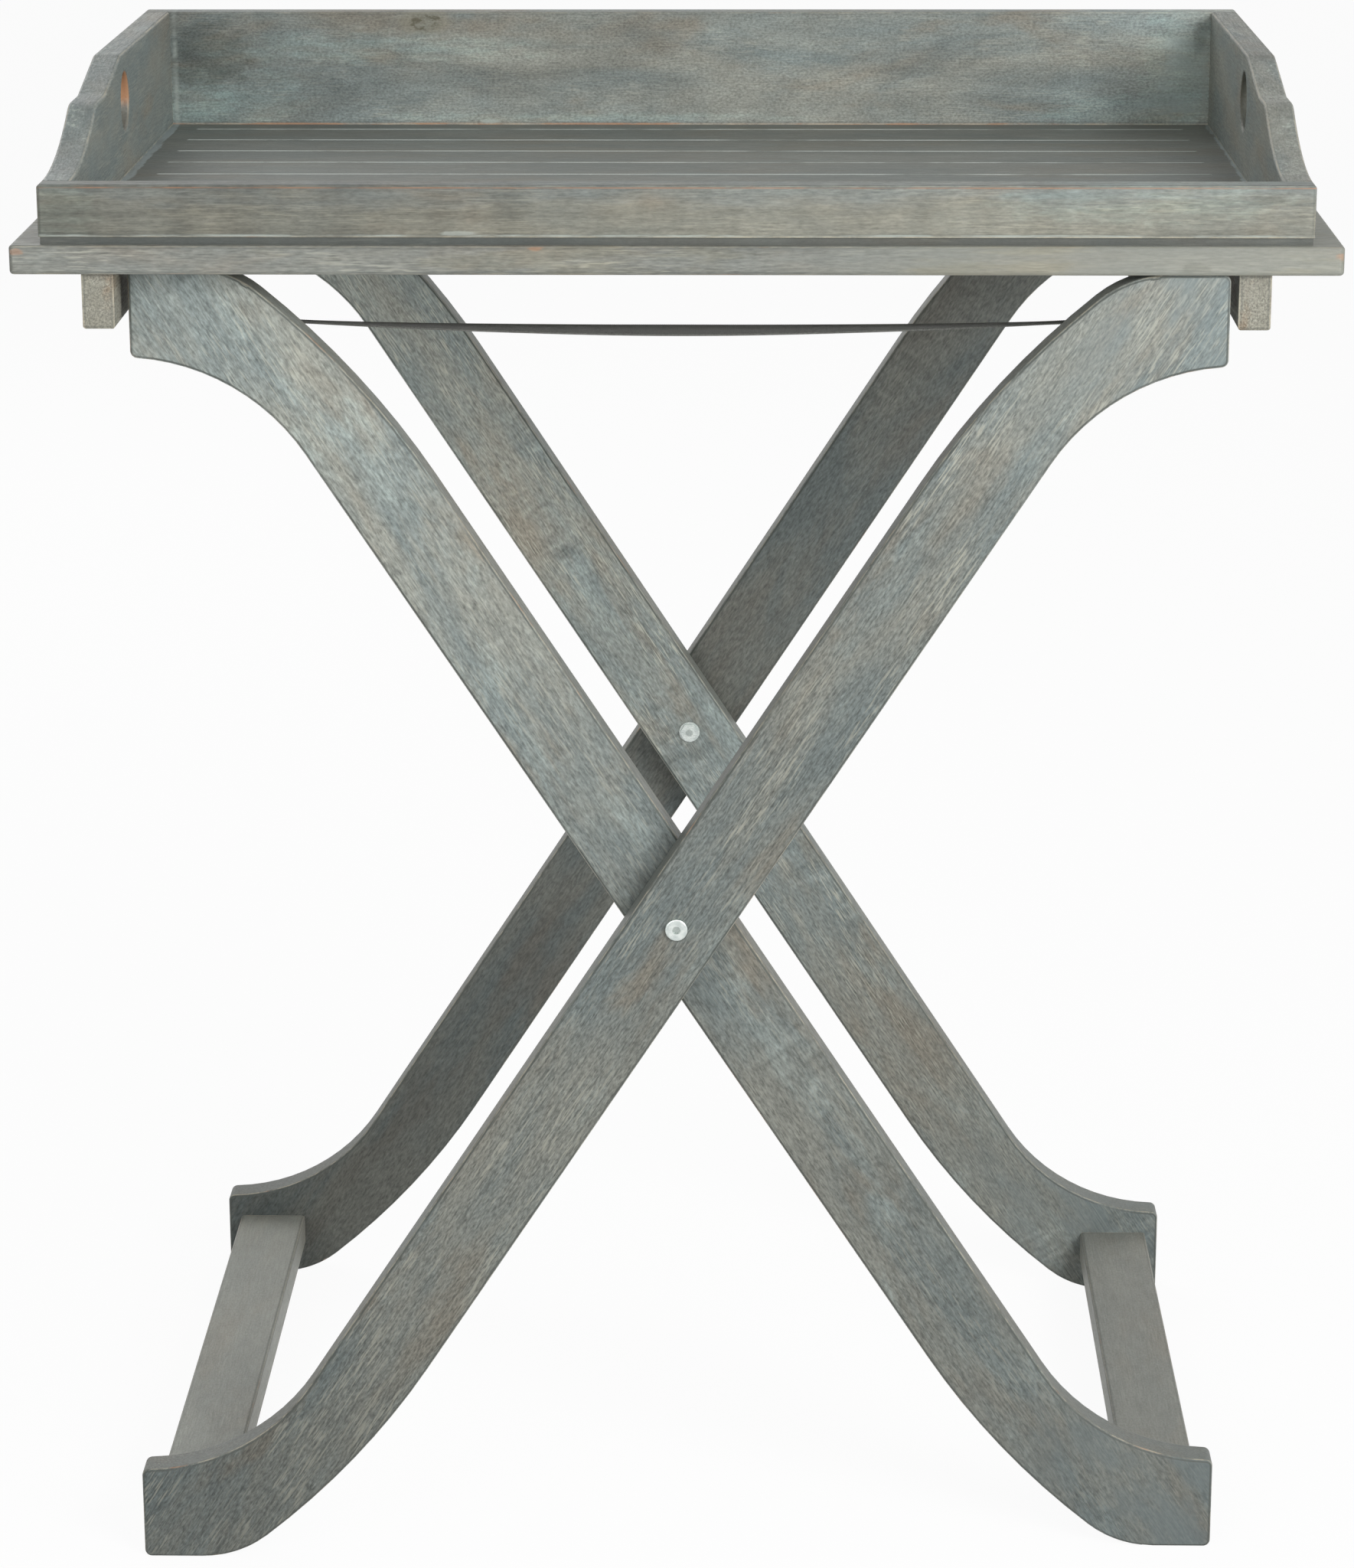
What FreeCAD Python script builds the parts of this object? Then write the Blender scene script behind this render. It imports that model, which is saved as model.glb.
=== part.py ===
import FreeCAD, Part
import math
import os
import re
import Sketcher

# Folding tray table. Two crossed leg frames turn on a pivot and are tied by two
# webbing straps. A board with two cleats lies across their tops, and a shallow
# tray with a raised back stands on the board.
# The origin is on the floor under the middle of the table. +X is to the right,
# +Y to the back and +Z up. Lengths are millimetres, angles are degrees.

SIZES = {
    # Legs, about the pivot
    "pivot_height": 379,
    "leg_rise": 361,
    "leg_width": 50,
    "leg_thickness": 20,
    "leg_inner_bend": 116,
    "leg_outer_bend": 450,
    "top_overrun": 55.8,
    "top_end_height": 49,
    "top_flat": 52,
    "foot_overrun": 57.7,
    "foot_end_height": 54,
    "sole_flat": 53,
    "leg_corner_radius": 4,
    "leg_shoulder_radius": 60,
    "leg_edge_radius": 2,
    "leg_inset": 3,
    "leg_gap": 2,
    # Rails between the legs
    "rail_thickness": 20,
    "rail_edge_radius": 2,
    "bottom_rail_width": 42,
    "bottom_rail_inset": 8,
    "bottom_rail_height": 20,
    "top_rail_width": 30,
    "top_rail_inset": 6.5,
    "top_rail_drop": 19.5,
    # Dowels between rails and legs
    "rail_dowel_radius": 4,
    "bottom_dowel_spacing": 22,
    "top_dowel_spacing": 14,
    "rail_dowel_leg_depth": 12,
    "rail_dowel_depth": 16,
    # Pivot bolts, sleeve nuts and washers
    "bolt_head_radius": 6.25,
    "bolt_head_height": 2.5,
    "bolt_head_edge_radius": 0.9,
    "bolt_shank_radius": 3,
    "bolt_shank_length": 34,
    "socket_radius": 2.3,
    "socket_depth": 1.6,
    "nut_flange_radius": 6.45,
    "nut_flange_height": 1,
    "nut_hexagon_radius": 5.9,
    "nut_hexagon_height": 2,
    "nut_end_radius": 2.3,
    "nut_end_height": 0.5,
    "sleeve_radius": 4.5,
    "sleeve_setback": 1,
    "washer_radius": 9,
    # Straps and their tacks
    "strap_width": 30,
    "strap_thickness": 1.6,
    "strap_offset": 127,
    "strap_sag": 7,
    "strap_end_inset": 4,
    "tack_radius": 1.2,
    "tack_depth": 12,
    "tack_head_radius": 4.5,
    "tack_head_height": 1.4,
    "tack_spacing": 16,
    # Board and cleats
    "board_width": 700,
    "board_depth": 450,
    "board_thickness": 15.5,
    "board_corner_radius": 3,
    "board_edge_radius": 2,
    "cleat_width": 17,
    "cleat_height": 30,
    "cleat_leg_gap": 4.5,
    "cleat_end_inset": 6,
    "cleat_edge_radius": 2,
    "cleat_overhang": 37,
    "cleat_screw_radius": 2,
    "cleat_screw_length": 36,
    "cleat_screw_head_radius": 4,
    "cleat_screw_head_height": 2.5,
    "cleat_screw_sink": 3,
    # Tray
    "tray_side_margin": 15.5,
    "tray_front_margin": 3,
    "tray_floor_thickness": 4,
    "tray_floor_setback": 1,
    "wall_thickness": 16,
    "wall_edge_radius": 2,
    "front_wall_height": 27.5,
    "side_ledge_height": 54.5,
    "back_wall_height": 68.7,
    "side_top_run": 227,
    "side_ramp_run": 65,
    "side_ledge_run": 27,
    "side_shoulder_radius": 25,
    "hand_hole_radius": 16,
    "hand_hole_height": 41,
    "hand_hole_setback": 10,
    "groove_pitch": 46,
    "groove_width": 1.6,
    "groove_depth": 1,
    "groove_end_margin": 17.5,
    "tray_dowel_radius": 3,
    "tray_dowel_wall_depth": 10,
    "tray_dowel_depth": 14,
    "back_dowel_spacing": 36,
    "floor_screw_radius": 1.5,
    "floor_screw_length": 14,
    "floor_screw_head_radius": 3,
    "floor_screw_head_height": 1.4,
    "floor_screw_sink": 1.6,
    # Clearances
    "fit_clearance": 0.05,
    "play_clearance": 0.1,
    "hole_end_clearance": 0.5,
}

# Places as shares of the length that carries them
SIDE_CURVE_SHARE = 0.1
CLEAT_SCREW_SHARES = (-0.8, 0, 0.8)
LONG_WALL_SCREW_SHARES = (-0.81, -0.27, 0.27, 0.81)
SIDE_WALL_SCREW_SHARES = (-0.6, 0, 0.6)
NEAR_SHARE = 0.001

# Places worked out from the sizes
CLEAT_PLACE = "(board_width / 2 - cleat_overhang - cleat_width / 2)"
TOP_REACH = "(board_width / 2 - cleat_overhang - cleat_width - cleat_leg_gap)"
LEAN_SLOPE = f"(({TOP_REACH} - top_overrun) / leg_rise)"
FOOT_REACH = f"(pivot_height * {LEAN_SLOPE} + foot_overrun)"
TOP_RAIL_REACH = f"({TOP_REACH} - top_rail_inset - top_rail_width / 2)"
BOTTOM_RAIL_REACH = f"({FOOT_REACH} - bottom_rail_inset - bottom_rail_width / 2)"
BOARD_BOTTOM = "(pivot_height + leg_rise)"
BOARD_TOP = f"({BOARD_BOTTOM} + board_thickness)"
WALL_BOTTOM = f"({BOARD_TOP} + tray_floor_thickness)"
TRAY_WIDTH = "(board_width - 2 * tray_side_margin)"
TRAY_DEPTH = "(board_depth - 2 * tray_front_margin)"
SIDE_WALL_LENGTH = f"({TRAY_DEPTH} - 2 * wall_thickness)"
SIDE_WALL_PLACE = f"({TRAY_WIDTH} / 2 - wall_thickness / 2)"
LONG_WALL_PLACE = f"({TRAY_DEPTH} / 2 - wall_thickness / 2)"
SIDE_SHOULDER = f"({TRAY_DEPTH} / 2 - side_top_run)"
OUTER_LEG_FACE = "(board_depth / 2 - leg_inset)"
OUTER_LEG_SEAT = f"({OUTER_LEG_FACE} - leg_thickness)"
INNER_LEG_FACE = f"({OUTER_LEG_SEAT} - leg_gap)"
INNER_LEG_SEAT = f"({INNER_LEG_FACE} - leg_thickness)"
BOTTOM_RAIL_MIDDLE = "(bottom_rail_height + rail_thickness / 2)"
TOP_RAIL_MIDDLE = f"({BOARD_BOTTOM} - top_rail_drop - rail_thickness / 2)"
TOP_RAIL_UNDERSIDE = f"({BOARD_BOTTOM} - top_rail_drop - rail_thickness)"
PIVOT_HOLE = "(sleeve_radius + fit_clearance)"
CLEAT_SCREW_SEAT = f"({BOARD_BOTTOM} - cleat_height + cleat_screw_sink)"
CLEAT_SCREW_HOLE = "(cleat_screw_radius + fit_clearance)"
FLOOR_SCREW_HOLE = "(floor_screw_radius + fit_clearance)"
TRAY_DOWEL_HOLE = "(tray_dowel_radius + fit_clearance)"
FRONT_DOWEL_HEIGHTS = ("front_wall_height / 2",)
BACK_DOWEL_HEIGHTS = (
    "(back_wall_height - back_dowel_spacing) / 2",
    "(back_wall_height + back_dowel_spacing) / 2",
)

X_AXIS = FreeCAD.Vector(1, 0, 0)
Y_AXIS = FreeCAD.Vector(0, 1, 0)
Z_AXIS = FreeCAD.Vector(0, 0, 1)

doc = FreeCAD.newDocument("tray_table")
sheet = doc.addObject("Spreadsheet::Sheet", "Sizes")
for row, (name, number) in enumerate(SIZES.items(), start=1):
    sheet.set(f"A{row}", str(number))
    sheet.setAlias(f"A{row}", name)
doc.recompute()

nodes = []


# Sheet

def value(formula):
    """Work out a formula of the sheet's names."""
    return float(sheet.evalExpression(formula))


def bind(thing, prop, formula):
    """Bind a property to a formula of the sheet's names."""
    def linked(word):
        return f"Sizes.{word[0]}" if word[0] in SIZES else word[0]
    thing.setExpression(prop, re.sub(r"[a-z][a-z_]+", linked, formula))


def place(thing, x="0", y="0", z="0", turn=0):
    """Put a piece's own origin at a point of the table, turned about Z."""
    thing.Placement = FreeCAD.Placement(FreeCAD.Vector(), FreeCAD.Rotation(Z_AXIS, turn))
    bind(thing, ".Placement.Base.x", x)
    bind(thing, ".Placement.Base.y", y)
    bind(thing, ".Placement.Base.z", z)
    return thing


def shares_of(shares, length):
    """Formulas of the places that are the given shares of a length."""
    return [f"{share} * {length}" for share in shares]


# Bodies and sketches

def new_body(label):
    body = doc.addObject("PartDesign::Body", label)
    body.Label = label
    nodes.append(body)
    return body


def new_sketch(body, plane, offset="0"):
    """A sketch on one of the body's own planes, moved along the plane's normal."""
    role = next(item for item in body.Origin.OriginFeatures if item.Role == plane)
    sketch = body.newObject("Sketcher::SketchObject", f"{body.Name}_sketch")
    sketch.AttachmentSupport = [(role, "")]
    sketch.MapMode = "FlatFace"
    bind(sketch, "AttachmentOffset.Base.z", offset)
    return sketch


def fix_point(sketch, kind, geometry, point, formula):
    """Hold a point at a signed distance from the sketch's origin."""
    distance = value(formula)
    if distance < 0:
        held = Sketcher.Constraint(kind, geometry, point, -1, 1, -distance)
        formula = f"-({formula})"
    else:
        held = Sketcher.Constraint(kind, -1, 1, geometry, point, distance)
    bind(sketch, f"Constraints[{sketch.addConstraint(held)}]", formula)


def rectangle(sketch, width, height, x="0", y="0"):
    """A rectangle about a middle point, with its sides and place held."""
    left = value(f"{x} - {width} / 2")
    right = value(f"{x} + {width} / 2")
    low = value(f"{y} - {height} / 2")
    high = value(f"{y} + {height} / 2")
    corners = [
        FreeCAD.Vector(left, low, 0),
        FreeCAD.Vector(right, low, 0),
        FreeCAD.Vector(right, high, 0),
        FreeCAD.Vector(left, high, 0),
    ]
    first = sketch.GeometryCount
    for start, end in zip(corners, corners[1:] + corners[:1]):
        sketch.addGeometry(Part.LineSegment(start, end), False)
    for step in range(4):
        near, far = first + step, first + (step + 1) % 4
        sketch.addConstraint(Sketcher.Constraint("Coincident", near, 2, far, 1))
        level = "Vertical" if step % 2 else "Horizontal"
        sketch.addConstraint(Sketcher.Constraint(level, near))
    fix_point(sketch, "DistanceX", first, 1, f"{x} - {width} / 2")
    fix_point(sketch, "DistanceY", first, 1, f"{y} - {height} / 2")
    fix_point(sketch, "DistanceX", first + 2, 1, f"{x} + {width} / 2")
    fix_point(sketch, "DistanceY", first + 2, 1, f"{y} + {height} / 2")


def circle(sketch, radius, x="0", y="0"):
    """A circle with its radius and middle held."""
    middle = FreeCAD.Vector(value(x), value(y), 0)
    ring = sketch.addGeometry(Part.Circle(middle, Z_AXIS, value(radius)), False)
    held = sketch.addConstraint(Sketcher.Constraint("Radius", ring, value(radius)))
    bind(sketch, f"Constraints[{held}]", radius)
    fix_point(sketch, "DistanceX", ring, 3, x)
    fix_point(sketch, "DistanceY", ring, 3, y)
    return ring


def hexagon(sketch, radius):
    """A hexagon about the sketch's origin, its corners on a circle."""
    ring = circle(sketch, radius)
    sketch.toggleConstruction(ring)
    corners = [
        FreeCAD.Vector(math.cos(turn), math.sin(turn), 0) * value(radius)
        for turn in (math.tau * step / 6 for step in range(6))
    ]
    first = sketch.GeometryCount
    for start, end in zip(corners, corners[1:] + corners[:1]):
        sketch.addGeometry(Part.LineSegment(start, end), False)
    for step in range(6):
        near, far = first + step, first + (step + 1) % 6
        sketch.addConstraint(Sketcher.Constraint("Coincident", near, 2, far, 1))
        sketch.addConstraint(Sketcher.Constraint("PointOnObject", near, 1, ring))
        if step:
            sketch.addConstraint(Sketcher.Constraint("Equal", first, near))
    sketch.addConstraint(Sketcher.Constraint("PointOnObject", first, 1, -1))


def trace(sketch, start, path):
    """Draw an outline: a step of one point is a line, a step of two an arc."""
    def flat(point):
        return FreeCAD.Vector(point[0], point[1], 0)
    here = start
    for step in path:
        *through, there = step
        if through:
            edge = Part.Arc(flat(here), flat(through[0]), flat(there))
        else:
            edge = Part.LineSegment(flat(here), flat(there))
        drawn = sketch.addGeometry(edge, False)
        sketch.addConstraint(Sketcher.Constraint("Block", drawn))
        here = there


def pad(body, sketch, length, reverse=False, symmetric=False):
    feature = body.newObject("PartDesign::Pad", f"{body.Name}_pad")
    feature.Profile = sketch
    feature.SideType = "Symmetric" if symmetric else "One side"
    feature.Reversed = reverse
    bind(feature, "Length", length)
    doc.recompute()
    return feature


def pocket(body, sketch, depth=None, reverse=False):
    """Cut a sketch into the body, to a depth or right through."""
    before = body.Tip.Shape.Volume
    feature = body.newObject("PartDesign::Pocket", f"{body.Name}_pocket")
    feature.Profile = sketch
    feature.Reversed = reverse
    if depth is None:
        feature.Type = "ThroughAll"
    else:
        bind(feature, "Length", depth)
    doc.recompute()
    if feature.Shape.Volume >= before:
        raise RuntimeError(f"{body.Label}: a pocket cuts nothing")
    return feature


def fillet(body, radius, wanted):
    """Round the edges of the body that a test picks."""
    base = body.Tip
    names = [
        f"Edge{number}"
        for number, edge in enumerate(base.Shape.Edges, start=1)
        if wanted(edge)
    ]
    feature = body.newObject("PartDesign::Fillet", f"{body.Name}_fillet")
    feature.Base = (base, names)
    bind(feature, "Radius", radius)
    doc.recompute()
    return feature


def runs_along(edge, axis):
    """True for an edge whose ends are apart along one axis only."""
    reach = edge.Vertexes[-1].Point - edge.Vertexes[0].Point
    across = reach - axis * reach.dot(axis)
    return across.Length < edge.Length * NEAR_SHARE < reach.Length


def lies_at(edge, axis, distance):
    """True for an edge that lies in the plane square to an axis at a distance."""
    ends = [vertex.Point.dot(axis) for vertex in edge.Vertexes]
    ends.append(edge.CenterOfMass.dot(axis))
    return all(abs(end - distance) < edge.Length * NEAR_SHARE for end in ends)


# Loose groups of round pieces

def cylinder(name, radius, height, at, along=Z_AXIS):
    """A cylinder that starts at a point and runs along an axis."""
    solid = doc.addObject("Part::Cylinder", name)
    bind(solid, "Radius", radius)
    bind(solid, "Height", height)
    place(solid, *at)
    solid.Placement = FreeCAD.Placement(FreeCAD.Vector(), FreeCAD.Rotation(Z_AXIS, along))
    return solid


def headed_pin(name, shank, length, head, height, at):
    """A screw or tack that points up: a head below its seat, a shank above."""
    x, y, z = at
    stem = cylinder(f"{name}_shank", shank, length, at)
    cap = cylinder(f"{name}_head", head, height, (x, y, f"{z} - {height}"))
    whole = doc.addObject("Part::Fuse", name)
    whole.Base = cap
    whole.Tool = stem
    return whole


def group(label, solids):
    """One node that holds identical pieces as separate solids."""
    bundle = doc.addObject("Part::Compound", label)
    bundle.Label = label
    bundle.Links = solids
    nodes.append(bundle)
    return bundle


# Legs and rails

def leg_end(rise, reach, end_height, flat):
    """Points of a leg's upper end about the pivot, from its inner bend round.

    The leg leans towards +X. Both bends turn it outwards, to a flat top and an
    upright end face.
    """
    lean = math.atan(value(LEAN_SLOPE))
    along = (math.sin(lean), math.cos(lean))
    inner, outer, half = value("leg_inner_bend"), value("leg_outer_bend"), value("leg_width / 2")

    def shifted(middle, radius, turn):
        return (middle[0] - radius * math.cos(turn), middle[1] + radius * math.sin(turn))

    inner_z = rise - end_height - inner
    inner_middle = ((inner + half + inner_z * along[0]) / along[1], inner_z)
    inner_turn = math.acos((inner_middle[0] - reach) / inner)
    inner_start = shifted(inner_middle, inner, lean)
    inner_through = shifted(inner_middle, inner, (lean + inner_turn) / 2)
    inner_end = shifted(inner_middle, inner, inner_turn)

    flat_end = (reach - flat, rise)
    base = ((outer - half) * along[1], -(outer - half) * along[0])
    gap = (base[0] - flat_end[0], base[1] - flat_end[1])
    slope = along[0] * gap[0] + along[1] * gap[1]
    rest = gap[0] ** 2 + gap[1] ** 2 - outer ** 2
    travel = -slope - math.sqrt(slope ** 2 - rest)
    outer_middle = (base[0] + along[0] * travel, base[1] + along[1] * travel)
    outer_turn = math.acos((outer_middle[0] - flat_end[0]) / outer)
    outer_through = shifted(outer_middle, outer, (lean + outer_turn) / 2)
    outer_start = shifted(outer_middle, outer, lean)
    return {
        "inner_start": inner_start,
        "inner_through": inner_through,
        "inner_end": inner_end,
        "corner": (reach, rise),
        "flat_end": flat_end,
        "outer_through": outer_through,
        "outer_start": outer_start,
    }


def leg_points():
    """Points of the whole leg: its top, and its foot turned half round."""
    top = leg_end(value("leg_rise"), value(TOP_REACH), value("top_end_height"), value("top_flat"))
    foot = leg_end(
        value("pivot_height"), value(FOOT_REACH), value("foot_end_height"), value("sole_flat")
    )
    return top, {name: (-x, -z) for name, (x, z) in foot.items()}


def leg(label, behind, seat, turn):
    """A leg about the pivot, with its rail face on the XZ plane.

    A leg behind its rails reaches to +Y of that plane, one in front to -Y.
    """
    top, foot = leg_points()
    body = new_body(label)
    sketch = new_sketch(body, "XZ_Plane")
    path = []
    for end in (top, foot):
        path += [
            (end["inner_through"], end["inner_end"]),
            (end["corner"],),
            (end["flat_end"],),
            (end["outer_through"], end["outer_start"]),
        ]
        path.append((foot["inner_start"],) if end is top else (top["inner_start"],))
    trace(sketch, top["inner_start"], path)
    pad(body, sketch, "leg_thickness", reverse=behind)

    def stands_at(edge, names):
        middle = (edge.CenterOfMass.x, edge.CenterOfMass.z)
        near = value("leg_thickness") * NEAR_SHARE
        places = [end[name] for end in (top, foot) for name in names]
        return runs_along(edge, Y_AXIS) and any(math.dist(middle, at) < near for at in places)
    fillet(body, "leg_corner_radius", lambda edge: stands_at(edge, ("inner_end", "corner")))
    fillet(body, "leg_shoulder_radius", lambda edge: stands_at(edge, ("flat_end",)))
    far_face = value("leg_thickness") if behind else -value("leg_thickness")
    fillet(
        body,
        "leg_edge_radius",
        lambda edge: lies_at(edge, Y_AXIS, 0) or lies_at(edge, Y_AXIS, far_face),
    )

    sketch = new_sketch(body, "XZ_Plane")
    circle(sketch, PIVOT_HOLE)
    pocket(body, sketch, reverse=not behind)
    sketch = new_sketch(body, "XZ_Plane")
    for end, reach, height in (
        ("bottom", f"-{BOTTOM_RAIL_REACH}", f"{BOTTOM_RAIL_MIDDLE} - pivot_height"),
        ("top", TOP_RAIL_REACH, f"{TOP_RAIL_MIDDLE} - pivot_height"),
    ):
        for side in ("-", "+"):
            circle(
                sketch,
                "rail_dowel_radius + fit_clearance",
                f"{reach} {side} {end}_dowel_spacing / 2",
                height,
            )
    pocket(body, sketch, "rail_dowel_leg_depth + hole_end_clearance", reverse=not behind)
    place(body, y=seat, z="pivot_height", turn=turn)


def rail(label, end, half_length, reach, height):
    """A rail along Y between the top or bottom ends of two legs.

    It has dowel holes in its ends, and at the top also holes for the strap tacks.
    """
    body = new_body(label)
    sketch = new_sketch(body, "XZ_Plane")
    rectangle(sketch, f"{end}_rail_width", "rail_thickness")
    pad(body, sketch, f"2 * {half_length}", symmetric=True)
    fillet(body, "rail_edge_radius", lambda edge: runs_along(edge, Y_AXIS))
    for front in (True, False):
        sketch = new_sketch(body, "XZ_Plane", half_length if front else f"-{half_length}")
        for side in ("-", "+"):
            circle(sketch, "rail_dowel_radius + fit_clearance", f"{side} {end}_dowel_spacing / 2")
        pocket(body, sketch, "rail_dowel_depth + hole_end_clearance", reverse=not front)
    if end == "top":
        sketch = new_sketch(body, "XY_Plane", "-rail_thickness / 2")
        for middle in ("-strap_offset", "strap_offset"):
            for side in ("-", "+"):
                circle(sketch, "tack_radius + fit_clearance", "0", f"{middle} {side} tack_spacing / 2")
        pocket(body, sketch, "tack_depth + hole_end_clearance", reverse=True)
    place(body, x=reach, z=height)


def rail_dowels(label, seat, bottom_reach, top_reach):
    """The eight dowels of one leg frame, two at each end of each rail."""
    solids = []
    for end, reach, height in (
        ("bottom", bottom_reach, BOTTOM_RAIL_MIDDLE),
        ("top", top_reach, TOP_RAIL_MIDDLE),
    ):
        for side in ("-", "+"):
            for start in (f"-{seat} - rail_dowel_leg_depth", f"{seat} - rail_dowel_depth"):
                at = (f"{reach} {side} {end}_dowel_spacing / 2", start, height)
                name = f"{label}_{len(solids) + 1}"
                length = "rail_dowel_leg_depth + rail_dowel_depth"
                solids.append(cylinder(name, "rail_dowel_radius", length, at, Y_AXIS))
    group(label, solids)


def leg_frames():
    leg("outer_front_leg", False, f"-{OUTER_LEG_SEAT}", 0)
    leg("outer_back_leg", True, OUTER_LEG_SEAT, 0)
    leg("inner_front_leg", True, f"-{INNER_LEG_SEAT}", 180)
    leg("inner_back_leg", False, INNER_LEG_SEAT, 180)
    rail("outer_bottom_rail", "bottom", OUTER_LEG_SEAT, f"-{BOTTOM_RAIL_REACH}", BOTTOM_RAIL_MIDDLE)
    rail("outer_top_rail", "top", OUTER_LEG_SEAT, TOP_RAIL_REACH, TOP_RAIL_MIDDLE)
    rail("inner_bottom_rail", "bottom", INNER_LEG_SEAT, BOTTOM_RAIL_REACH, BOTTOM_RAIL_MIDDLE)
    rail("inner_top_rail", "top", INNER_LEG_SEAT, f"-{TOP_RAIL_REACH}", TOP_RAIL_MIDDLE)
    rail_dowels("outer_rail_dowels", OUTER_LEG_SEAT, f"-{BOTTOM_RAIL_REACH}", TOP_RAIL_REACH)
    rail_dowels("inner_rail_dowels", INNER_LEG_SEAT, BOTTOM_RAIL_REACH, f"-{TOP_RAIL_REACH}")


# Pivot fittings, drawn for the front and turned half round for the back

def pivot_bolt(label, face, turn):
    """A bolt with its seat on the XZ plane, its head to -Y and its shank to +Y."""
    body = new_body(label)
    sketch = new_sketch(body, "XZ_Plane")
    circle(sketch, "bolt_head_radius")
    pad(body, sketch, "bolt_head_height")
    top = -value("bolt_head_height")
    fillet(body, "bolt_head_edge_radius", lambda edge: lies_at(edge, Y_AXIS, top))
    sketch = new_sketch(body, "XZ_Plane")
    circle(sketch, "bolt_shank_radius")
    pad(body, sketch, "bolt_shank_length", reverse=True)
    sketch = new_sketch(body, "XZ_Plane", "bolt_head_height")
    hexagon(sketch, "socket_radius")
    pocket(body, sketch, "socket_depth")
    place(body, y=face, z="pivot_height", turn=turn)


def pivot_nut(label, face, turn):
    """A sleeve nut with its seat on the XZ plane.

    Its flange, its hexagon and the closed end in the middle step up to +Y.
    """
    sleeve_length = "(2 * leg_thickness + leg_gap + play_clearance - sleeve_setback)"
    body = new_body(label)
    sketch = new_sketch(body, "XZ_Plane")
    circle(sketch, "nut_flange_radius")
    pad(body, sketch, "nut_flange_height", reverse=True)
    sketch = new_sketch(body, "XZ_Plane")
    hexagon(sketch, "nut_hexagon_radius")
    pad(body, sketch, "nut_flange_height + nut_hexagon_height", reverse=True)
    sketch = new_sketch(body, "XZ_Plane")
    circle(sketch, "nut_end_radius")
    pad(body, sketch, "nut_flange_height + nut_hexagon_height + nut_end_height", reverse=True)
    sketch = new_sketch(body, "XZ_Plane")
    circle(sketch, "sleeve_radius")
    pad(body, sketch, sleeve_length)
    sketch = new_sketch(body, "XZ_Plane", sleeve_length)
    circle(sketch, "bolt_shank_radius + fit_clearance")
    pocket(body, sketch, "bolt_shank_length - sleeve_setback + hole_end_clearance")
    place(body, y=face, z="pivot_height", turn=turn)


def pivot_washer(label, face, turn):
    """A washer that fills the gap between two legs but for its side play."""
    body = new_body(label)
    sketch = new_sketch(body, "XZ_Plane")
    circle(sketch, "washer_radius")
    circle(sketch, PIVOT_HOLE)
    pad(body, sketch, "leg_gap - play_clearance", reverse=True)
    place(body, y=face, z="pivot_height", turn=turn)


def pivots():
    nut_face = f"{INNER_LEG_SEAT} - play_clearance"
    pivot_bolt("front_pivot_bolt", f"-{OUTER_LEG_FACE}", 0)
    pivot_bolt("back_pivot_bolt", OUTER_LEG_FACE, 180)
    pivot_nut("front_pivot_nut", f"-({nut_face})", 0)
    pivot_nut("back_pivot_nut", nut_face, 180)
    pivot_washer("front_pivot_washer", f"-{OUTER_LEG_SEAT}", 0)
    pivot_washer("back_pivot_washer", OUTER_LEG_SEAT, 180)


# Straps

def strap(label, middle):
    """A flat strap under the top rails that sags between them."""
    body = new_body(label)
    sketch = new_sketch(body, "XZ_Plane")
    end = value(f"{TOP_RAIL_REACH} + top_rail_width / 2 - strap_end_inset")
    edge = value(f"{TOP_RAIL_REACH} - top_rail_width / 2")
    thick, sag = value("strap_thickness"), value("strap_sag")
    trace(sketch, (-end, 0), [
        ((-edge, 0),),
        ((0, -sag), (edge, 0)),
        ((end, 0),),
        ((end, -thick),),
        ((edge, -thick),),
        ((0, -thick - sag), (-edge, -thick)),
        ((-end, -thick),),
        ((-end, 0),),
    ])
    pad(body, sketch, "strap_width", symmetric=True)
    sketch = new_sketch(body, "XY_Plane")
    for reach in (f"-{TOP_RAIL_REACH}", TOP_RAIL_REACH):
        for side in ("-", "+"):
            circle(sketch, "tack_radius + fit_clearance", reach, f"{side} tack_spacing / 2")
    pocket(body, sketch)
    place(body, y=middle, z=TOP_RAIL_UNDERSIDE)


def strap_tacks(label, reach):
    """The tacks that hold both straps to one top rail."""
    solids = []
    for middle in ("-strap_offset", "strap_offset"):
        for side in ("-", "+"):
            at = (reach, f"{middle} {side} tack_spacing / 2", f"{TOP_RAIL_UNDERSIDE} - strap_thickness")
            solids.append(headed_pin(
                f"{label}_{len(solids) + 1}",
                "tack_radius",
                "strap_thickness + tack_depth",
                "tack_head_radius",
                "tack_head_height",
                at,
            ))
    group(label, solids)


def straps():
    strap("front_strap", "-strap_offset")
    strap("back_strap", "strap_offset")
    strap_tacks("outer_strap_tacks", TOP_RAIL_REACH)
    strap_tacks("inner_strap_tacks", f"-{TOP_RAIL_REACH}")


# Board and cleats

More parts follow.
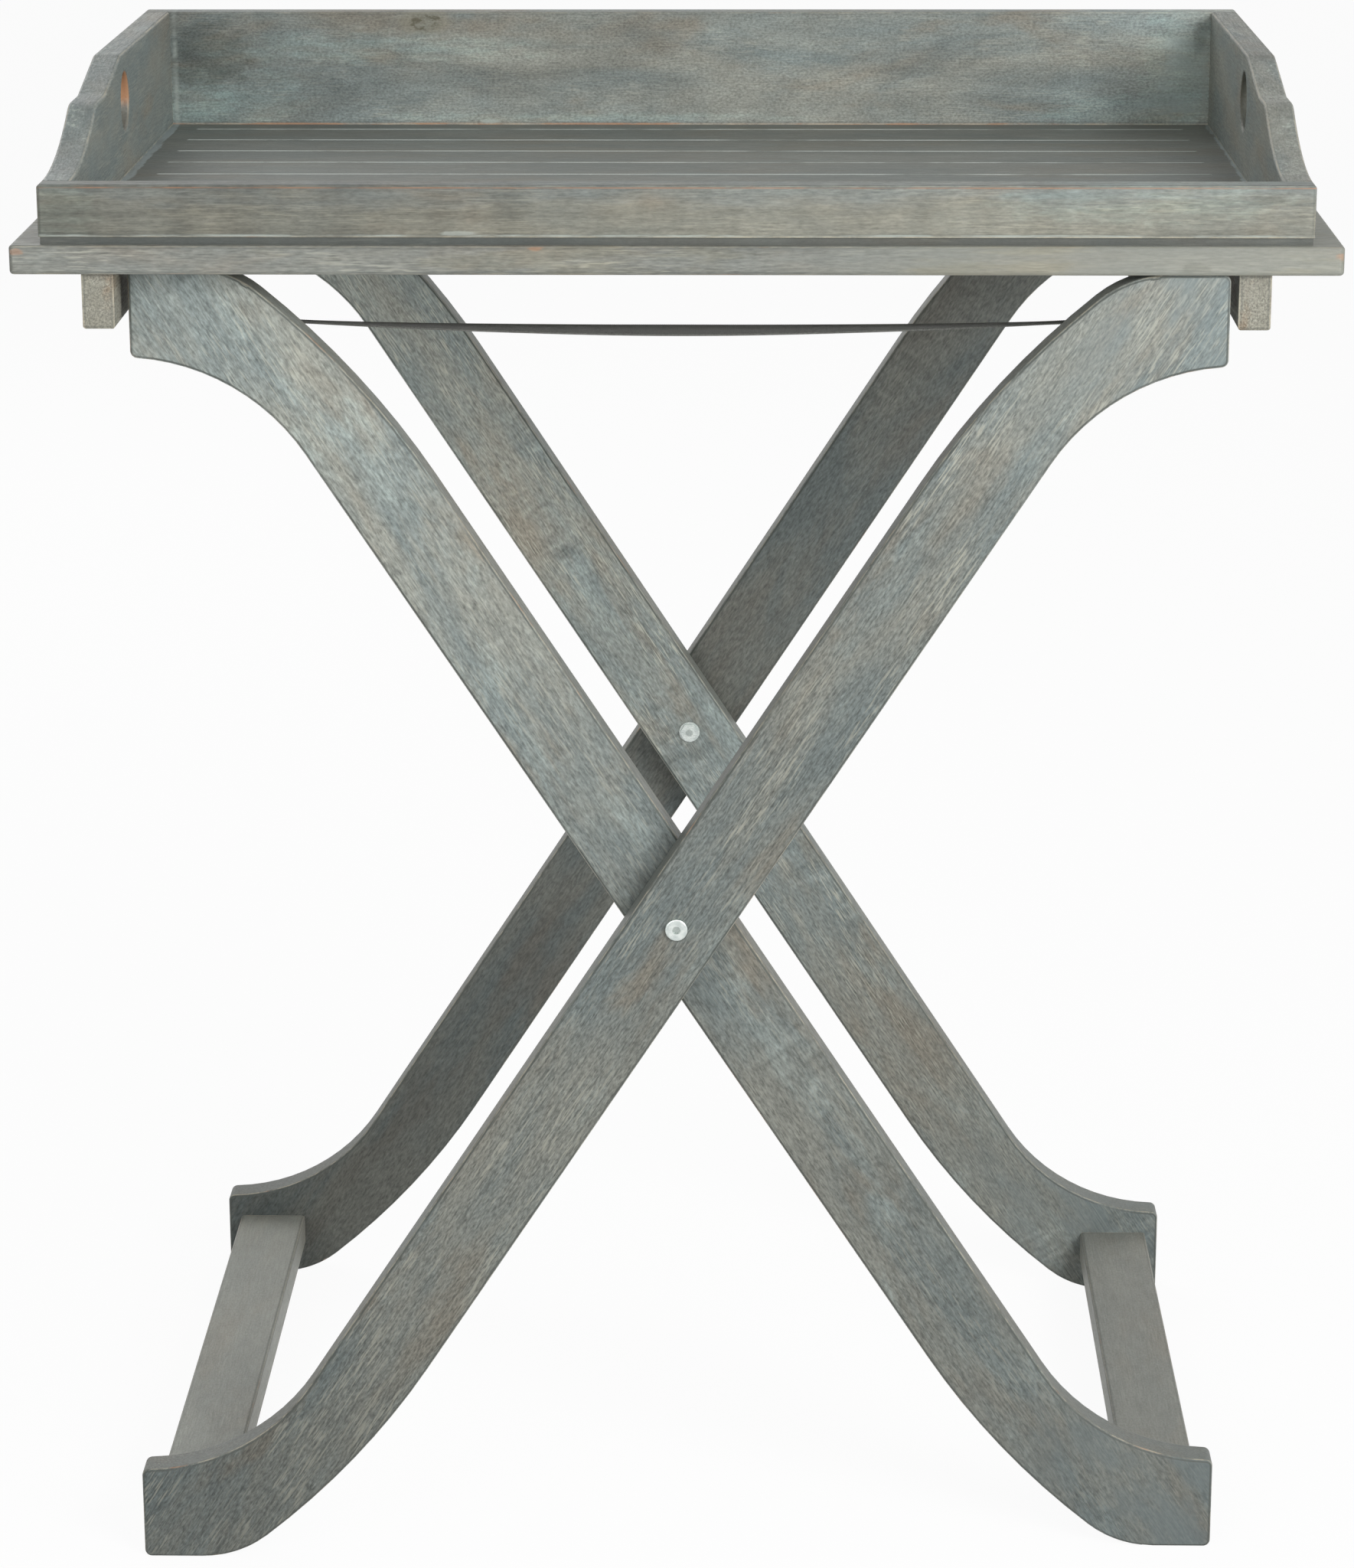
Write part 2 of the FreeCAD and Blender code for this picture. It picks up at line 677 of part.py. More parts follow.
def table_board():
    """The loose top, with pilot holes for the cleat screws in its underside."""
    body = new_body("table_board")
    sketch = new_sketch(body, "XY_Plane")
    rectangle(sketch, "board_width", "board_depth")
    pad(body, sketch, "board_thickness")
    fillet(body, "board_corner_radius", lambda edge: runs_along(edge, Z_AXIS))
    top = value("board_thickness")
    fillet(
        body,
        "board_edge_radius",
        lambda edge: lies_at(edge, Z_AXIS, 0) or lies_at(edge, Z_AXIS, top),
    )
    sketch = new_sketch(body, "XY_Plane")
    for x in (f"-{CLEAT_PLACE}", CLEAT_PLACE):
        for y in shares_of(CLEAT_SCREW_SHARES, "(board_depth / 2)"):
            circle(sketch, CLEAT_SCREW_HOLE, x, y)
    depth = "cleat_screw_sink + cleat_screw_length - cleat_height + hole_end_clearance"
    pocket(body, sketch, depth, reverse=True)
    place(body, z=BOARD_BOTTOM)


def cleat(label, reach):
    """A batten under the board, just outside the ends of the legs."""
    body = new_body(label)
    sketch = new_sketch(body, "XY_Plane")
    rectangle(sketch, "cleat_width", "(board_depth - 2 * cleat_end_inset)")
    pad(body, sketch, "cleat_height")
    fillet(body, "cleat_edge_radius", lambda edge: lies_at(edge, Z_AXIS, 0))
    holes = (("cleat_screw_head_radius + fit_clearance", "cleat_screw_sink"), (CLEAT_SCREW_HOLE, None))
    for radius, depth in holes:
        sketch = new_sketch(body, "XY_Plane")
        for y in shares_of(CLEAT_SCREW_SHARES, "(board_depth / 2)"):
            circle(sketch, radius, "0", y)
        pocket(body, sketch, depth, reverse=True)
    place(body, x=reach, z=f"{BOARD_BOTTOM} - cleat_height")


def cleat_screws():
    solids = []
    for x in (f"-{CLEAT_PLACE}", CLEAT_PLACE):
        for y in shares_of(CLEAT_SCREW_SHARES, "(board_depth / 2)"):
            solids.append(headed_pin(
                f"cleat_screw_{len(solids) + 1}",
                "cleat_screw_radius",
                "cleat_screw_length",
                "cleat_screw_head_radius",
                "cleat_screw_head_height",
                (x, y, CLEAT_SCREW_SEAT),
            ))
    group("cleat_screws", solids)


# Tray

def floor_screw_places():
    """Places of the screws under the walls, as formulas of the tray's sizes."""
    long_walls = [
        (x, y)
        for y in (f"-{LONG_WALL_PLACE}", LONG_WALL_PLACE)
        for x in shares_of(LONG_WALL_SCREW_SHARES, f"({TRAY_WIDTH} / 2)")
    ]
    side_walls = [
        (x, y)
        for x in (f"-{SIDE_WALL_PLACE}", SIDE_WALL_PLACE)
        for y in shares_of(SIDE_WALL_SCREW_SHARES, f"({TRAY_DEPTH} / 2)")
    ]
    return long_walls + side_walls


def tray_floor():
    """The thin floor under the walls, with stopped grooves along its top."""
    body = new_body("tray_floor")
    sketch = new_sketch(body, "XY_Plane")
    rectangle(
        sketch,
        f"({TRAY_WIDTH} - 2 * tray_floor_setback)",
        f"({TRAY_DEPTH} - 2 * tray_floor_setback)",
    )
    pad(body, sketch, "tray_floor_thickness")
    holes = (
        ("floor_screw_head_radius + fit_clearance", "floor_screw_sink"),
        (FLOOR_SCREW_HOLE, None),
    )
    for radius, depth in holes:
        sketch = new_sketch(body, "XY_Plane")
        for x, y in floor_screw_places():
            circle(sketch, radius, x, y)
        pocket(body, sketch, depth, reverse=True)
    inside = f"({TRAY_WIDTH} - 2 * wall_thickness)"
    half_depth = f"({TRAY_DEPTH} / 2 - wall_thickness - groove_width)"
    beside_middle = int(value(f"{half_depth} / groove_pitch"))
    sketch = new_sketch(body, "XY_Plane", "tray_floor_thickness")
    rectangle(
        sketch,
        f"({inside} - 2 * groove_end_margin)",
        "groove_width",
        y=f"-{beside_middle} * groove_pitch",
    )
    groove = pocket(body, sketch, "groove_depth")
    rows = body.newObject("PartDesign::LinearPattern", "tray_floor_rows")
    rows.Originals = [groove]
    rows.Direction = (sketch, ["V_Axis"])
    rows.Occurrences = 2 * beside_middle + 1
    bind(rows, "Length", f"{2 * beside_middle} * groove_pitch")
    body.Tip = rows
    place(body, z=BOARD_TOP)


def long_wall(label, side, height, dowel_heights):
    """The front wall or the back wall, side -1 or 1, over the tray's full width."""
    body = new_body(label)
    sketch = new_sketch(body, "XY_Plane")
    rectangle(sketch, TRAY_WIDTH, "wall_thickness")
    pad(body, sketch, height)
    fillet(body, "wall_edge_radius", lambda edge: not lies_at(edge, Z_AXIS, 0))
    sketch = new_sketch(body, "XY_Plane")
    for x in shares_of(LONG_WALL_SCREW_SHARES, f"({TRAY_WIDTH} / 2)"):
        circle(sketch, FLOOR_SCREW_HOLE, x)
    screw_depth = "floor_screw_sink + floor_screw_length - tray_floor_thickness + hole_end_clearance"
    pocket(body, sketch, screw_depth, reverse=True)
    inner_face = "-wall_thickness / 2" if side < 0 else "wall_thickness / 2"
    sketch = new_sketch(body, "XZ_Plane", inner_face)
    for x in (f"-{SIDE_WALL_PLACE}", SIDE_WALL_PLACE):
        for dowel_height in dowel_heights:
            circle(sketch, TRAY_DOWEL_HOLE, x, dowel_height)
    pocket(body, sketch, "tray_dowel_wall_depth + hole_end_clearance", reverse=side < 0)
    place(body, y=f"{side} * {LONG_WALL_PLACE}", z=WALL_BOTTOM)


def side_wall_path():
    """The side wall's outline in Y and Z, from its front bottom corner.

    The top is level at the back, drops down a ramp to a ledge, and then falls
    in two arcs to the height of the front wall.
    """
    front = -value(f"{SIDE_WALL_LENGTH} / 2")
    back = -front
    low, ledge, high = value("front_wall_height"), value("side_ledge_height"), value("back_wall_height")
    shoulder = value(SIDE_SHOULDER)
    ramp_end = shoulder - value("side_ramp_run")
    ledge_end = ramp_end - value("side_ledge_run")
    run, drop = ledge_end - front, ledge - low
    turn = 2 * math.atan2(drop, run)
    radii = run / math.sin(turn)
    upper, lower = radii * SIDE_CURVE_SHARE, radii * (1 - SIDE_CURVE_SHARE)

    def on_upper(angle):
        return (ledge_end - upper * math.sin(angle), ledge - upper * (1 - math.cos(angle)))

    def on_lower(angle):
        return (front + lower * math.sin(angle), low + lower * (1 - math.cos(angle)))

    path = [
        ((back, 0),),
        ((back, high),),
        ((shoulder, high),),
        ((ramp_end, ledge),),
        ((ledge_end, ledge),),
        (on_upper(turn / 2), on_upper(turn)),
        (on_lower(turn / 2), (front, low)),
        ((front, 0),),
    ]
    return (front, 0), path, ((shoulder, high), (ramp_end, ledge))


def side_wall(label, side):
    """The left or right wall, side -1 or 1, with its round hand hole."""
    start, path, shoulders = side_wall_path()
    body = new_body(label)
    sketch = new_sketch(body, "YZ_Plane")
    trace(sketch, start, path)
    pad(body, sketch, "wall_thickness", symmetric=True)

    def is_shoulder(edge):
        middle = (edge.CenterOfMass.y, edge.CenterOfMass.z)
        near = value("wall_thickness") * NEAR_SHARE
        return runs_along(edge, X_AXIS) and any(math.dist(middle, s) < near for s in shoulders)
    fillet(body, "side_shoulder_radius", is_shoulder)
    sketch = new_sketch(body, "YZ_Plane", "wall_thickness / 2")
    circle(sketch, "hand_hole_radius", f"{SIDE_SHOULDER} + hand_hole_setback", "hand_hole_height")
    pocket(body, sketch)

    def is_worn_edge(edge):
        ends = runs_along(edge, X_AXIS) or runs_along(edge, Z_AXIS)
        return not ends and not lies_at(edge, Z_AXIS, 0)
    fillet(body, "wall_edge_radius", is_worn_edge)

    sketch = new_sketch(body, "XY_Plane")
    for y in shares_of(SIDE_WALL_SCREW_SHARES, f"({TRAY_DEPTH} / 2)"):
        circle(sketch, FLOOR_SCREW_HOLE, "0", y)
    screw_depth = "floor_screw_sink + floor_screw_length - tray_floor_thickness + hole_end_clearance"
    pocket(body, sketch, screw_depth, reverse=True)
    half = f"({SIDE_WALL_LENGTH} / 2)"
    for front, heights in ((True, FRONT_DOWEL_HEIGHTS), (False, BACK_DOWEL_HEIGHTS)):
        sketch = new_sketch(body, "XZ_Plane", half if front else f"-{half}")
        for height in heights:
            circle(sketch, TRAY_DOWEL_HOLE, "0", height)
        pocket(body, sketch, "tray_dowel_depth + hole_end_clearance", reverse=not front)
    place(body, x=f"{side} * {SIDE_WALL_PLACE}", z=WALL_BOTTOM)


def tray_corner_dowels():
    solids = []
    half = f"({SIDE_WALL_LENGTH} / 2)"
    length = "tray_dowel_wall_depth + tray_dowel_depth"
    corners = (
        (FRONT_DOWEL_HEIGHTS, f"-{half} - tray_dowel_wall_depth"),
        (BACK_DOWEL_HEIGHTS, f"{half} - tray_dowel_depth"),
    )
    for x in (f"-{SIDE_WALL_PLACE}", SIDE_WALL_PLACE):
        for heights, start in corners:
            for height in heights:
                at = (x, start, f"{WALL_BOTTOM} + {height}")
                name = f"tray_corner_dowel_{len(solids) + 1}"
                solids.append(cylinder(name, "tray_dowel_radius", length, at, Y_AXIS))
    group("tray_corner_dowels", solids)


def tray_floor_screws():
    solids = []
    for x, y in floor_screw_places():
        solids.append(headed_pin(
            f"tray_floor_screw_{len(solids) + 1}",
            "floor_screw_radius",
            "floor_screw_length",
            "floor_screw_head_radius",
            "floor_screw_head_height",
            (x, y, f"{BOARD_TOP} + floor_screw_sink"),
        ))
    group("tray_floor_screws", solids)


def tray():
    tray_floor()
    long_wall("tray_front_wall", -1, "front_wall_height", FRONT_DOWEL_HEIGHTS)
    long_wall("tray_back_wall", 1, "back_wall_height", BACK_DOWEL_HEIGHTS)
    side_wall("tray_left_wall", -1)
    side_wall("tray_right_wall", 1)
    tray_corner_dowels()
    tray_floor_screws()


# Build, check and write

def check_all():
    """Stop when an object has failed or a node has no sound shape."""
    for thing in doc.Objects:
        if "Invalid" in thing.State or "Error" in thing.State:
            raise RuntimeError(f"{thing.Label} failed: {thing.State}")
    for node in nodes:
        if node.Shape.isNull() or not node.Shape.isValid() or not node.Shape.Solids:
            raise RuntimeError(f"{node.Label} has no sound shape")


leg_frames()
pivots()
straps()
table_board()
cleat("left_cleat", f"-{CLEAT_PLACE}")
cleat("right_cleat", CLEAT_PLACE)
cleat_screws()
tray()
doc.recompute()
check_all()
os.makedirs("parts", exist_ok=True)
for node in nodes:
    node.Shape.exportStep(os.path.join("parts", f"{node.Label}.step"))
    box = node.Shape.BoundBox
    print(
        f"{node.Label}: {len(node.Shape.Solids)} solid(s), "
        f"{box.XLength:.1f} x {box.YLength:.1f} x {box.ZLength:.1f} mm"
    )
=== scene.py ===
import math

import bpy
from mathutils import Matrix, Vector


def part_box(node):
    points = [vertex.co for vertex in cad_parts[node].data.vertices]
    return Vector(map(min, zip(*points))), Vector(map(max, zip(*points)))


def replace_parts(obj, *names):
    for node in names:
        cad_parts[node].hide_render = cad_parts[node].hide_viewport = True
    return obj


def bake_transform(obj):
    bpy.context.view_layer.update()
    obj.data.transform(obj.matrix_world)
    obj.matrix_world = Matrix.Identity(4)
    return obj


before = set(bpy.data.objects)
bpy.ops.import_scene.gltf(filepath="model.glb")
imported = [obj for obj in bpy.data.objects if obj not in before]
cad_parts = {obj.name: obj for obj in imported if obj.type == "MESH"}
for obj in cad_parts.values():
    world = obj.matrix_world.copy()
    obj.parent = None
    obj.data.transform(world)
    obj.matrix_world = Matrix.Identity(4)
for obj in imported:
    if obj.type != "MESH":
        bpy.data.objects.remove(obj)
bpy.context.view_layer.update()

# Folding tray table. Its wooden and steel parts are the frame's own solids, with
# materials made here. The two webbing straps are modelled here in their place.
# Lengths are metres and angles are radians.

MM = 0.001

LEG_LEAN = math.radians(33.1)
PIVOT_HEIGHT = 379 * MM
GROOVE_PITCH = 46 * MM
GROOVE_WIDTH = 1.6 * MM
GROOVE_REACH = 301 * MM
HAND_HOLE_Y = 5 * MM
HAND_HOLE_Z = 800.5 * MM
HAND_HOLE_RADIUS = 16 * MM
SOCKET_RIM = 2.6 * MM
SOCKET_FLOOR = 1.8 * MM

STRAP_RIB = 1.15 * MM
STRAP_RIB_SWELL = 1.3
STRAP_EDGE_SWELL = 1.012
STRAP_EDGE_ROUND = 0.4 * MM
STRAP_THICKNESS = 1.0 * MM
STRAP_GAP = 0.1 * MM
STRAP_SAG = 7 * MM
STRAP_TWIST = math.radians(10)
# Between a rail and the middle: the share of the way out, and the share of the twist there.
STRAP_POINTS = ((0.85, 0.95), (0.68, 0.75), (0.5, 0.48), (0.2, 0.12))

FLOOR_REACH = 15.0
FLOOR_WHITENESS = 0.94
WORLD_LEVEL = 0.36
# Name, place, aim, side and power
LAMPS = (
    ("key_light", (1.25, -1.9, 1.40), (0, 0, 0.5), 1.1, 46),
    ("fill_light", (-1.3, -2.4, 1.2), (0, 0, 0.5), 1.6, 16),
    ("back_light", (-1.6, 2.4, 2.2), (0, 0, 0.4), 1.8, 26),
)
CAMERA_PLACE = (0.0492, -2.5417, 1.1390)
CAMERA_TURN = 0.0210
CAMERA_DIP = 0.2840
CAMERA_ROLL = -0.0024
CAMERA_LENS = 102.4
SENSOR_WIDTH = 36

strap_low, strap_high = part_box("front_strap")
rail_low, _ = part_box("outer_top_rail")
front_low, front_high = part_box("tray_front_wall")
back_low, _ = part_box("tray_back_wall")
_, left_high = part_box("tray_left_wall")


# Shader nodes


def tone(red, green, blue):
    """A colour as read off a screen, 0 to 255, as the linear colour that a socket takes."""
    linear = []
    for part in (red, green, blue):
        share = part / 255
        linear.append(share / 12.92 if share <= 0.04045 else ((share + 0.055) / 1.055) ** 2.4)
    return (*linear, 1.0)


class Value:
    """A shader socket that Python's operators work with."""

    def __init__(self, finish, socket):
        self.finish = finish
        self.socket = socket

    def maths(self, operation, first, second=0.0):
        return self.finish.node("ShaderNodeMath", {"operation": operation}, {0: first, 1: second})

    def __add__(self, other):
        return self.maths("ADD", self, other)

    def __sub__(self, other):
        return self.maths("SUBTRACT", self, other)

    def __rsub__(self, other):
        return self.maths("SUBTRACT", other, self)

    def __mul__(self, other):
        return self.maths("MULTIPLY", self, other)

    def __truediv__(self, other):
        return self.maths("DIVIDE", self, other)

    def __abs__(self):
        return self.maths("ABSOLUTE", self)

    def least(self, other):
        return self.maths("MINIMUM", self, other)

    def most(self, other):
        return self.maths("MAXIMUM", self, other)

    def past_whole(self):
        return self.maths("FRACT", self)

    __radd__ = __add__
    __rmul__ = __mul__


class Finish:
    """One material: its nodes, and the shader that they feed."""

    def __init__(self, name, **constants):
        self.material = bpy.data.materials.new(name)
        self.material.use_nodes = True
        self.tree = self.material.node_tree
        self.shader = self.tree.nodes["Principled BSDF"]
        for socket, value in constants.items():
            self.shader.inputs[socket.replace("_", " ")].default_value = value
        self.place = self.node("ShaderNodeTexCoord", {}, {}, "Object")
        self.x, self.y, self.z = self.parts(self.place)
        self.facing = self.parts(self.node("ShaderNodeTexCoord", {}, {}, "Normal"))

    def node(self, kind, settings, sockets, output=0):
        """Adds a node: its settings first, then the values or links of its sockets."""
        made = self.tree.nodes.new(kind)
        for setting, value in settings.items():
            setattr(made, setting, value)
        for socket, value in sockets.items():
            self.feed(made.inputs[socket], value)
        return Value(self, made.outputs[output])

    def feed(self, socket, value):
        if isinstance(value, Value):
            self.tree.links.new(value.socket, socket)
        else:
            socket.default_value = value

    def parts(self, vector):
        split = self.node("ShaderNodeSeparateXYZ", {}, {0: vector})
        return [Value(self, socket) for socket in split.socket.node.outputs]

    def turned(self, turn):
        """The place with the grain turned along X."""
        return self.node("ShaderNodeMapping", {}, {"Vector": self.place, "Rotation": turn})

    def noise(self, where, size, seed, detail=2.0, roughness=0.5, distortion=0.0):
        """Noise whose blots are as long, wide and deep as size says. The seed shifts it."""
        scale = [1 / length for length in size]
        shift = (seed, -seed, 2 * seed)
        sockets = {"Vector": where, "Location": shift, "Scale": scale}
        spread = self.node("ShaderNodeMapping", {}, sockets)
        sockets = {"Vector": spread, "Scale": 1.0, "Detail": detail, "Roughness": roughness,
                   "Distortion": distortion}
        return self.node("ShaderNodeTexNoise", {}, sockets)

    def step(self, value, low, high, bottom=0.0, top=1.0):
        """Goes smoothly from bottom to top as the value goes from low to high."""
        sockets = {"Value": value, "From Min": low, "From Max": high, "To Min": bottom,
                   "To Max": top}
        return self.node("ShaderNodeMapRange", {"interpolation_type": "SMOOTHSTEP"}, sockets)

    def band(self, value, low, high, soft):
        """One between low and high, and nothing outside."""
        return self.step(value, low - soft, low + soft) * self.step(value, high + soft, high - soft)

    def mix(self, share, under, over, kind="MIX"):
        settings = {"data_type": "RGBA", "blend_type": kind}
        return self.node("ShaderNodeMix", settings, {0: share, 6: under, 7: over}, 2)

    def tint(self, share, colour, by):
        """Stains the colour without covering its grain."""
        return self.mix(share, colour, by, "MULTIPLY")

    def lighten(self, colour, times):
        sockets = {0: colour, "Scale": times}
        return self.node("ShaderNodeVectorMath", {"operation": "SCALE"}, sockets)

    def edge_distance(self, low, high):
        """How far a point on a box-shaped piece is from the nearest edge."""
        x = (self.x - low.x).least(high.x - self.x)
        y = (self.y - low.y).least(high.y - self.y)
        z = (self.z - low.z).least(high.z - self.z)
        return x.least(y).most(x.most(y).least(z))

    def show(self, colour, roughness, height, depth):
        """Feeds the shader its colour, roughness and a bump of that depth."""
        self.feed(self.shader.inputs["Base Color"], colour)
        self.feed(self.shader.inputs["Roughness"], roughness)
        sockets = {"Height": height, "Distance": depth, "Strength": 1.0}
        self.feed(self.shader.inputs["Normal"], self.node("ShaderNodeBump", {}, sockets))
        return self.material


def dress(material, *names):
    """Gives these CAD nodes the material."""
    for name in names:
        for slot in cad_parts[name].material_slots:
            slot.material = material


# Weathered wood

SLATE = tone(122, 131, 129)
ASH = tone(140, 142, 134)
OLIVE = tone(136, 130, 117)
PALE_WASH = tone(160, 172, 168)
DARK_GRAIN = tone(74, 78, 74)
PALE_GRAIN = tone(184, 184, 170)
RAW_WOOD = tone(178, 128, 92)
# Pale worn wood, also painted highlight along the side walls' rounded tops.
WORN_EDGE_AND_HIGHLIGHT = tone(176, 170, 152)
# Pale dust, also used as painted highlight along the front wall's foot.
DUST_AND_HIGHLIGHT = tone(168, 176, 170)
SIDE_GREY = tone(122, 123, 116)
BLUE_GREY = tone(126, 138, 139)

# Stains multiply the colour below them; the dark one also serves as painted shade.
BROWN_STAIN = (1.02, 0.99, 0.92, 1.0)
BLUE_STAIN = (0.95, 1.0, 1.03, 1.0)
WASH_STAIN = (1.16, 1.24, 1.24, 1.0)
DARK_STAIN_AND_SHADE = (0.62, 0.62, 0.60, 1.0)

ALONG_X = (0, 0, 0)
ALONG_Y = (0, 0, -math.pi / 2)
ALONG_OUTER = (0, math.pi / 2 - LEG_LEAN, 0)
ALONG_INNER = (0, math.pi / 2 + LEG_LEAN, 0)

WOOD_SHINE = 0.3
LEG_FIBRE = 3.6 * MM
FIBRE_DEPTH = 0.2 * MM


def weathered(finish, grain, seed, wash, slate=SLATE, ash=ASH, olive=OLIVE, lines=1.0,
              speckle=1.0, fibre=2.4 * MM):
    """Washed grey wood over its grain. Gives the colour and the height of the fibres.

    Wash, lines and speckle say how strong the pale wash, the long grain lines and the
    short flecks are, and fibre says how long the flecks are.
    """
    broad = finish.noise(grain, (0.160, 0.040, 0.040), seed, 4.0, 0.55, 0.6)
    rubbed = finish.noise(grain, (0.110, 0.032, 0.032), seed + 5, 4.0, 0.6, 0.4)
    washed = finish.noise(grain, (0.060, 0.024, 0.024), seed + 9, 5.0, 0.65, 0.3)
    cloud = finish.noise(grain, (0.016, 0.010, 0.010), seed + 13, 4.0, 0.6, 0.4)
    streak = finish.noise(grain, (0.034, 0.0012, 0.0012), seed + 17, 2.0, 0.5)
    patch = finish.noise(grain, (0.070, 0.018, 0.018), seed + 21, 2.0)
    grit = finish.noise(grain, (fibre, 0.0011, 0.0011), seed + 25, 2.0, 0.6)
    line = finish.noise(grain, (0.012, 0.0008, 0.0008), seed + 29, 1.0, 0.4)
    colour = finish.mix(finish.step(broad, 0.36, 0.64), slate, ash)
    colour = finish.mix(finish.step(rubbed, 0.48, 0.72) * 0.8, colour, olive)
    colour = finish.mix(finish.step(washed, 0.50, 0.74) * wash, colour, PALE_WASH)
    lined = finish.step(patch, 0.42, 0.62, 0.15, 1.0)
    level = (cloud - 0.5) * 0.35 + (grit - 0.5) * (1.6 * speckle)
    level = level + (streak - 0.5) * lined * (0.5 * lines)
    colour = finish.lighten(colour, level + 1.0)
    pale_line = finish.step(line, 0.54, 0.68) * lined * (0.65 * lines)
    colour = finish.mix(pale_line, colour, PALE_GRAIN)
    dark_line = finish.step(line, 0.42, 0.30) * (0.35 * lines)
    colour = finish.mix(dark_line, colour, DARK_GRAIN)
    height = grit * 0.4 + streak * 0.3 + line * 0.5
    return colour, height


def worn(finish, colour, edge, seed, pale, raw):
    """Wear along an edge: pale in broken lengths, with raw wood in places."""
    broken = finish.noise(finish.place, (0.014, 0.014, 0.014), seed, 4.0, 0.7)
    bare = finish.noise(finish.place, (0.050, 0.050, 0.050), seed + 3, 4.0, 0.7)
    colour = finish.mix(edge * finish.step(broken, 0.42, 0.60, 0.1, pale), colour, WORN_EDGE_AND_HIGHLIGHT)
    return finish.mix(edge * finish.step(bare, 0.58, 0.66) * raw, colour, RAW_WOOD)


def fibred(finish, colour, height):
    """Shows wood that shines a little more on its raised fibres."""
    roughness = finish.step(height, 0.45, 0.75, 0.60, 0.46)
    return finish.show(colour, roughness, height, FIBRE_DEPTH)


def leg_wood(leg, turn, seed, shades, wash, foot=1.0, curls=0.5, **tones):
    """Dresses a leg: grain along its lean, faint curl across it, and bluer to the right.

    Its narrow sides are smoother and grey. Shades are two heights and the brightness at
    each, and foot makes its lower end darker or brighter: painted light and shade along
    the leg, which on the outer back leg also stands for darker wood.
    """
    finish = Finish(f"{leg}_wood", Specular_IOR_Level=WOOD_SHINE)
    grain = finish.turned(turn)
    colour, height = weathered(finish, grain, seed, wash, fibre=LEG_FIBRE, **tones)
    curl = finish.noise(grain, (0.0050, 0.022, 0.022), seed + 33, 2.0, 0.5, 0.6)
    curled = finish.noise(grain, (0.140, 0.060, 0.060), seed + 37, 1.0)
    curl = (curl - 0.5) * finish.step(curled, 0.46, 0.62) * curls
    cleared = finish.noise(grain, (0.050, 0.020, 0.020), seed + 45, 4.0, 0.6)
    blue = finish.step(finish.x, 0.14, 0.28) * finish.step(cleared, 0.40, 0.60, 0.2, 0.7)
    colour = finish.mix(blue, colour, BLUE_GREY)
    # Painted light and shade: each leg is lighter or darker with its height and at its foot, as the
    # light falls on it.
    shade = finish.step(finish.z, *shades) * finish.step(finish.z, 0.05, 0.19, foot, 1.0)
    colour = finish.lighten(colour, (curl + 1.0) * shade)
    face = abs(finish.facing[1])
    colour = finish.mix(finish.step(face, 0.5, 0.2) * 0.45, colour, SIDE_GREY)
    # A broken dark line along each face, where it turns into its rounded edge.
    patchy = finish.noise(finish.place, (0.070, 0.070, 0.070), seed + 49, 4.0, 0.6)
    edge_line = finish.band(face, 0.76, 0.975, 0.03) * finish.step(patchy, 0.36, 0.52, 0.35, 0.85)
    colour = finish.mix(edge_line, colour, DARK_GRAIN)
    rounding = finish.band(face, 0.25, 0.62, 0.1)
    colour = worn(finish, colour, rounding, seed + 41, pale=0.75, raw=0.45)
    dress(fibred(finish, colour, height), leg)


def plain_wood(node, name, turn, seed, wash, shade, marks=None, **tones):
    """Dresses a straight piece, worn along its edges, with marks of its own."""
    finish = Finish(name, Specular_IOR_Level=WOOD_SHINE)
    colour, height = weathered(finish, finish.turned(turn), seed, wash, **tones)
    colour = finish.lighten(colour, shade)
    edge = finish.edge_distance(*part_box(node))
    rim = finish.band(edge, 0.9 * MM, 1.9 * MM, 0.4 * MM)
    colour = finish.mix(rim * 0.3, colour, DARK_GRAIN)
    rounding = finish.step(edge, 1.1 * MM, 0.4 * MM)
    colour = worn(finish, colour, rounding, seed + 41, pale=0.6, raw=0.3)
    if marks:
        colour = marks(finish, colour)
    dress(fibred(finish, colour, height), node)


# Marks on single pieces. A mark is its middle and its reach, each of them across and
# up. Up is from the wall's foot on the front wall and in the chips, and else from the floor.

FRONT_WALL_WASHES = (((0.245, 0.020), (0.070, 0.012)), ((-0.325, 0.014), (0.020, 0.020)))
FRONT_WALL_STAIN = ((0.310, 0.020), (0.008, 0.004))
FRONT_WALL_CHIP = ((-0.113, 0.0022), (0.010, 0.0012))

BOARD_GREY = tone(130, 132, 124)
BOARD_STAIN = ((0.273, 0.743), (0.008, 0.004))
BOARD_SPOTS = ((0.349, 0.750), (-0.346, 0.752), (-0.073, 0.755))
BOARD_SPOT_REACH = (0.004, 0.0018)

KNOT_HALO = tone(134, 130, 112)
KNOT_RING = tone(84, 80, 64)
KNOT_REACH = (0.011, 0.0060)

CORNER_WASH = tone(172, 186, 184)
BACK_WALL_KNOT = (-0.162, 0.822)
BACK_WALL_WASHES = (
    ((-0.303, 0.770), (0.024, 0.012)), ((-0.290, 0.776), (0.050, 0.020)),
    ((0.300, 0.795), (0.022, 0.040)), ((0.306, 0.785), (0.012, 0.026)),
    ((-0.205, 0.806), (0.105, 0.009)), ((0.265, 0.768), (0.050, 0.010)),
    ((-0.060, 0.764), (0.120, 0.003)),
)
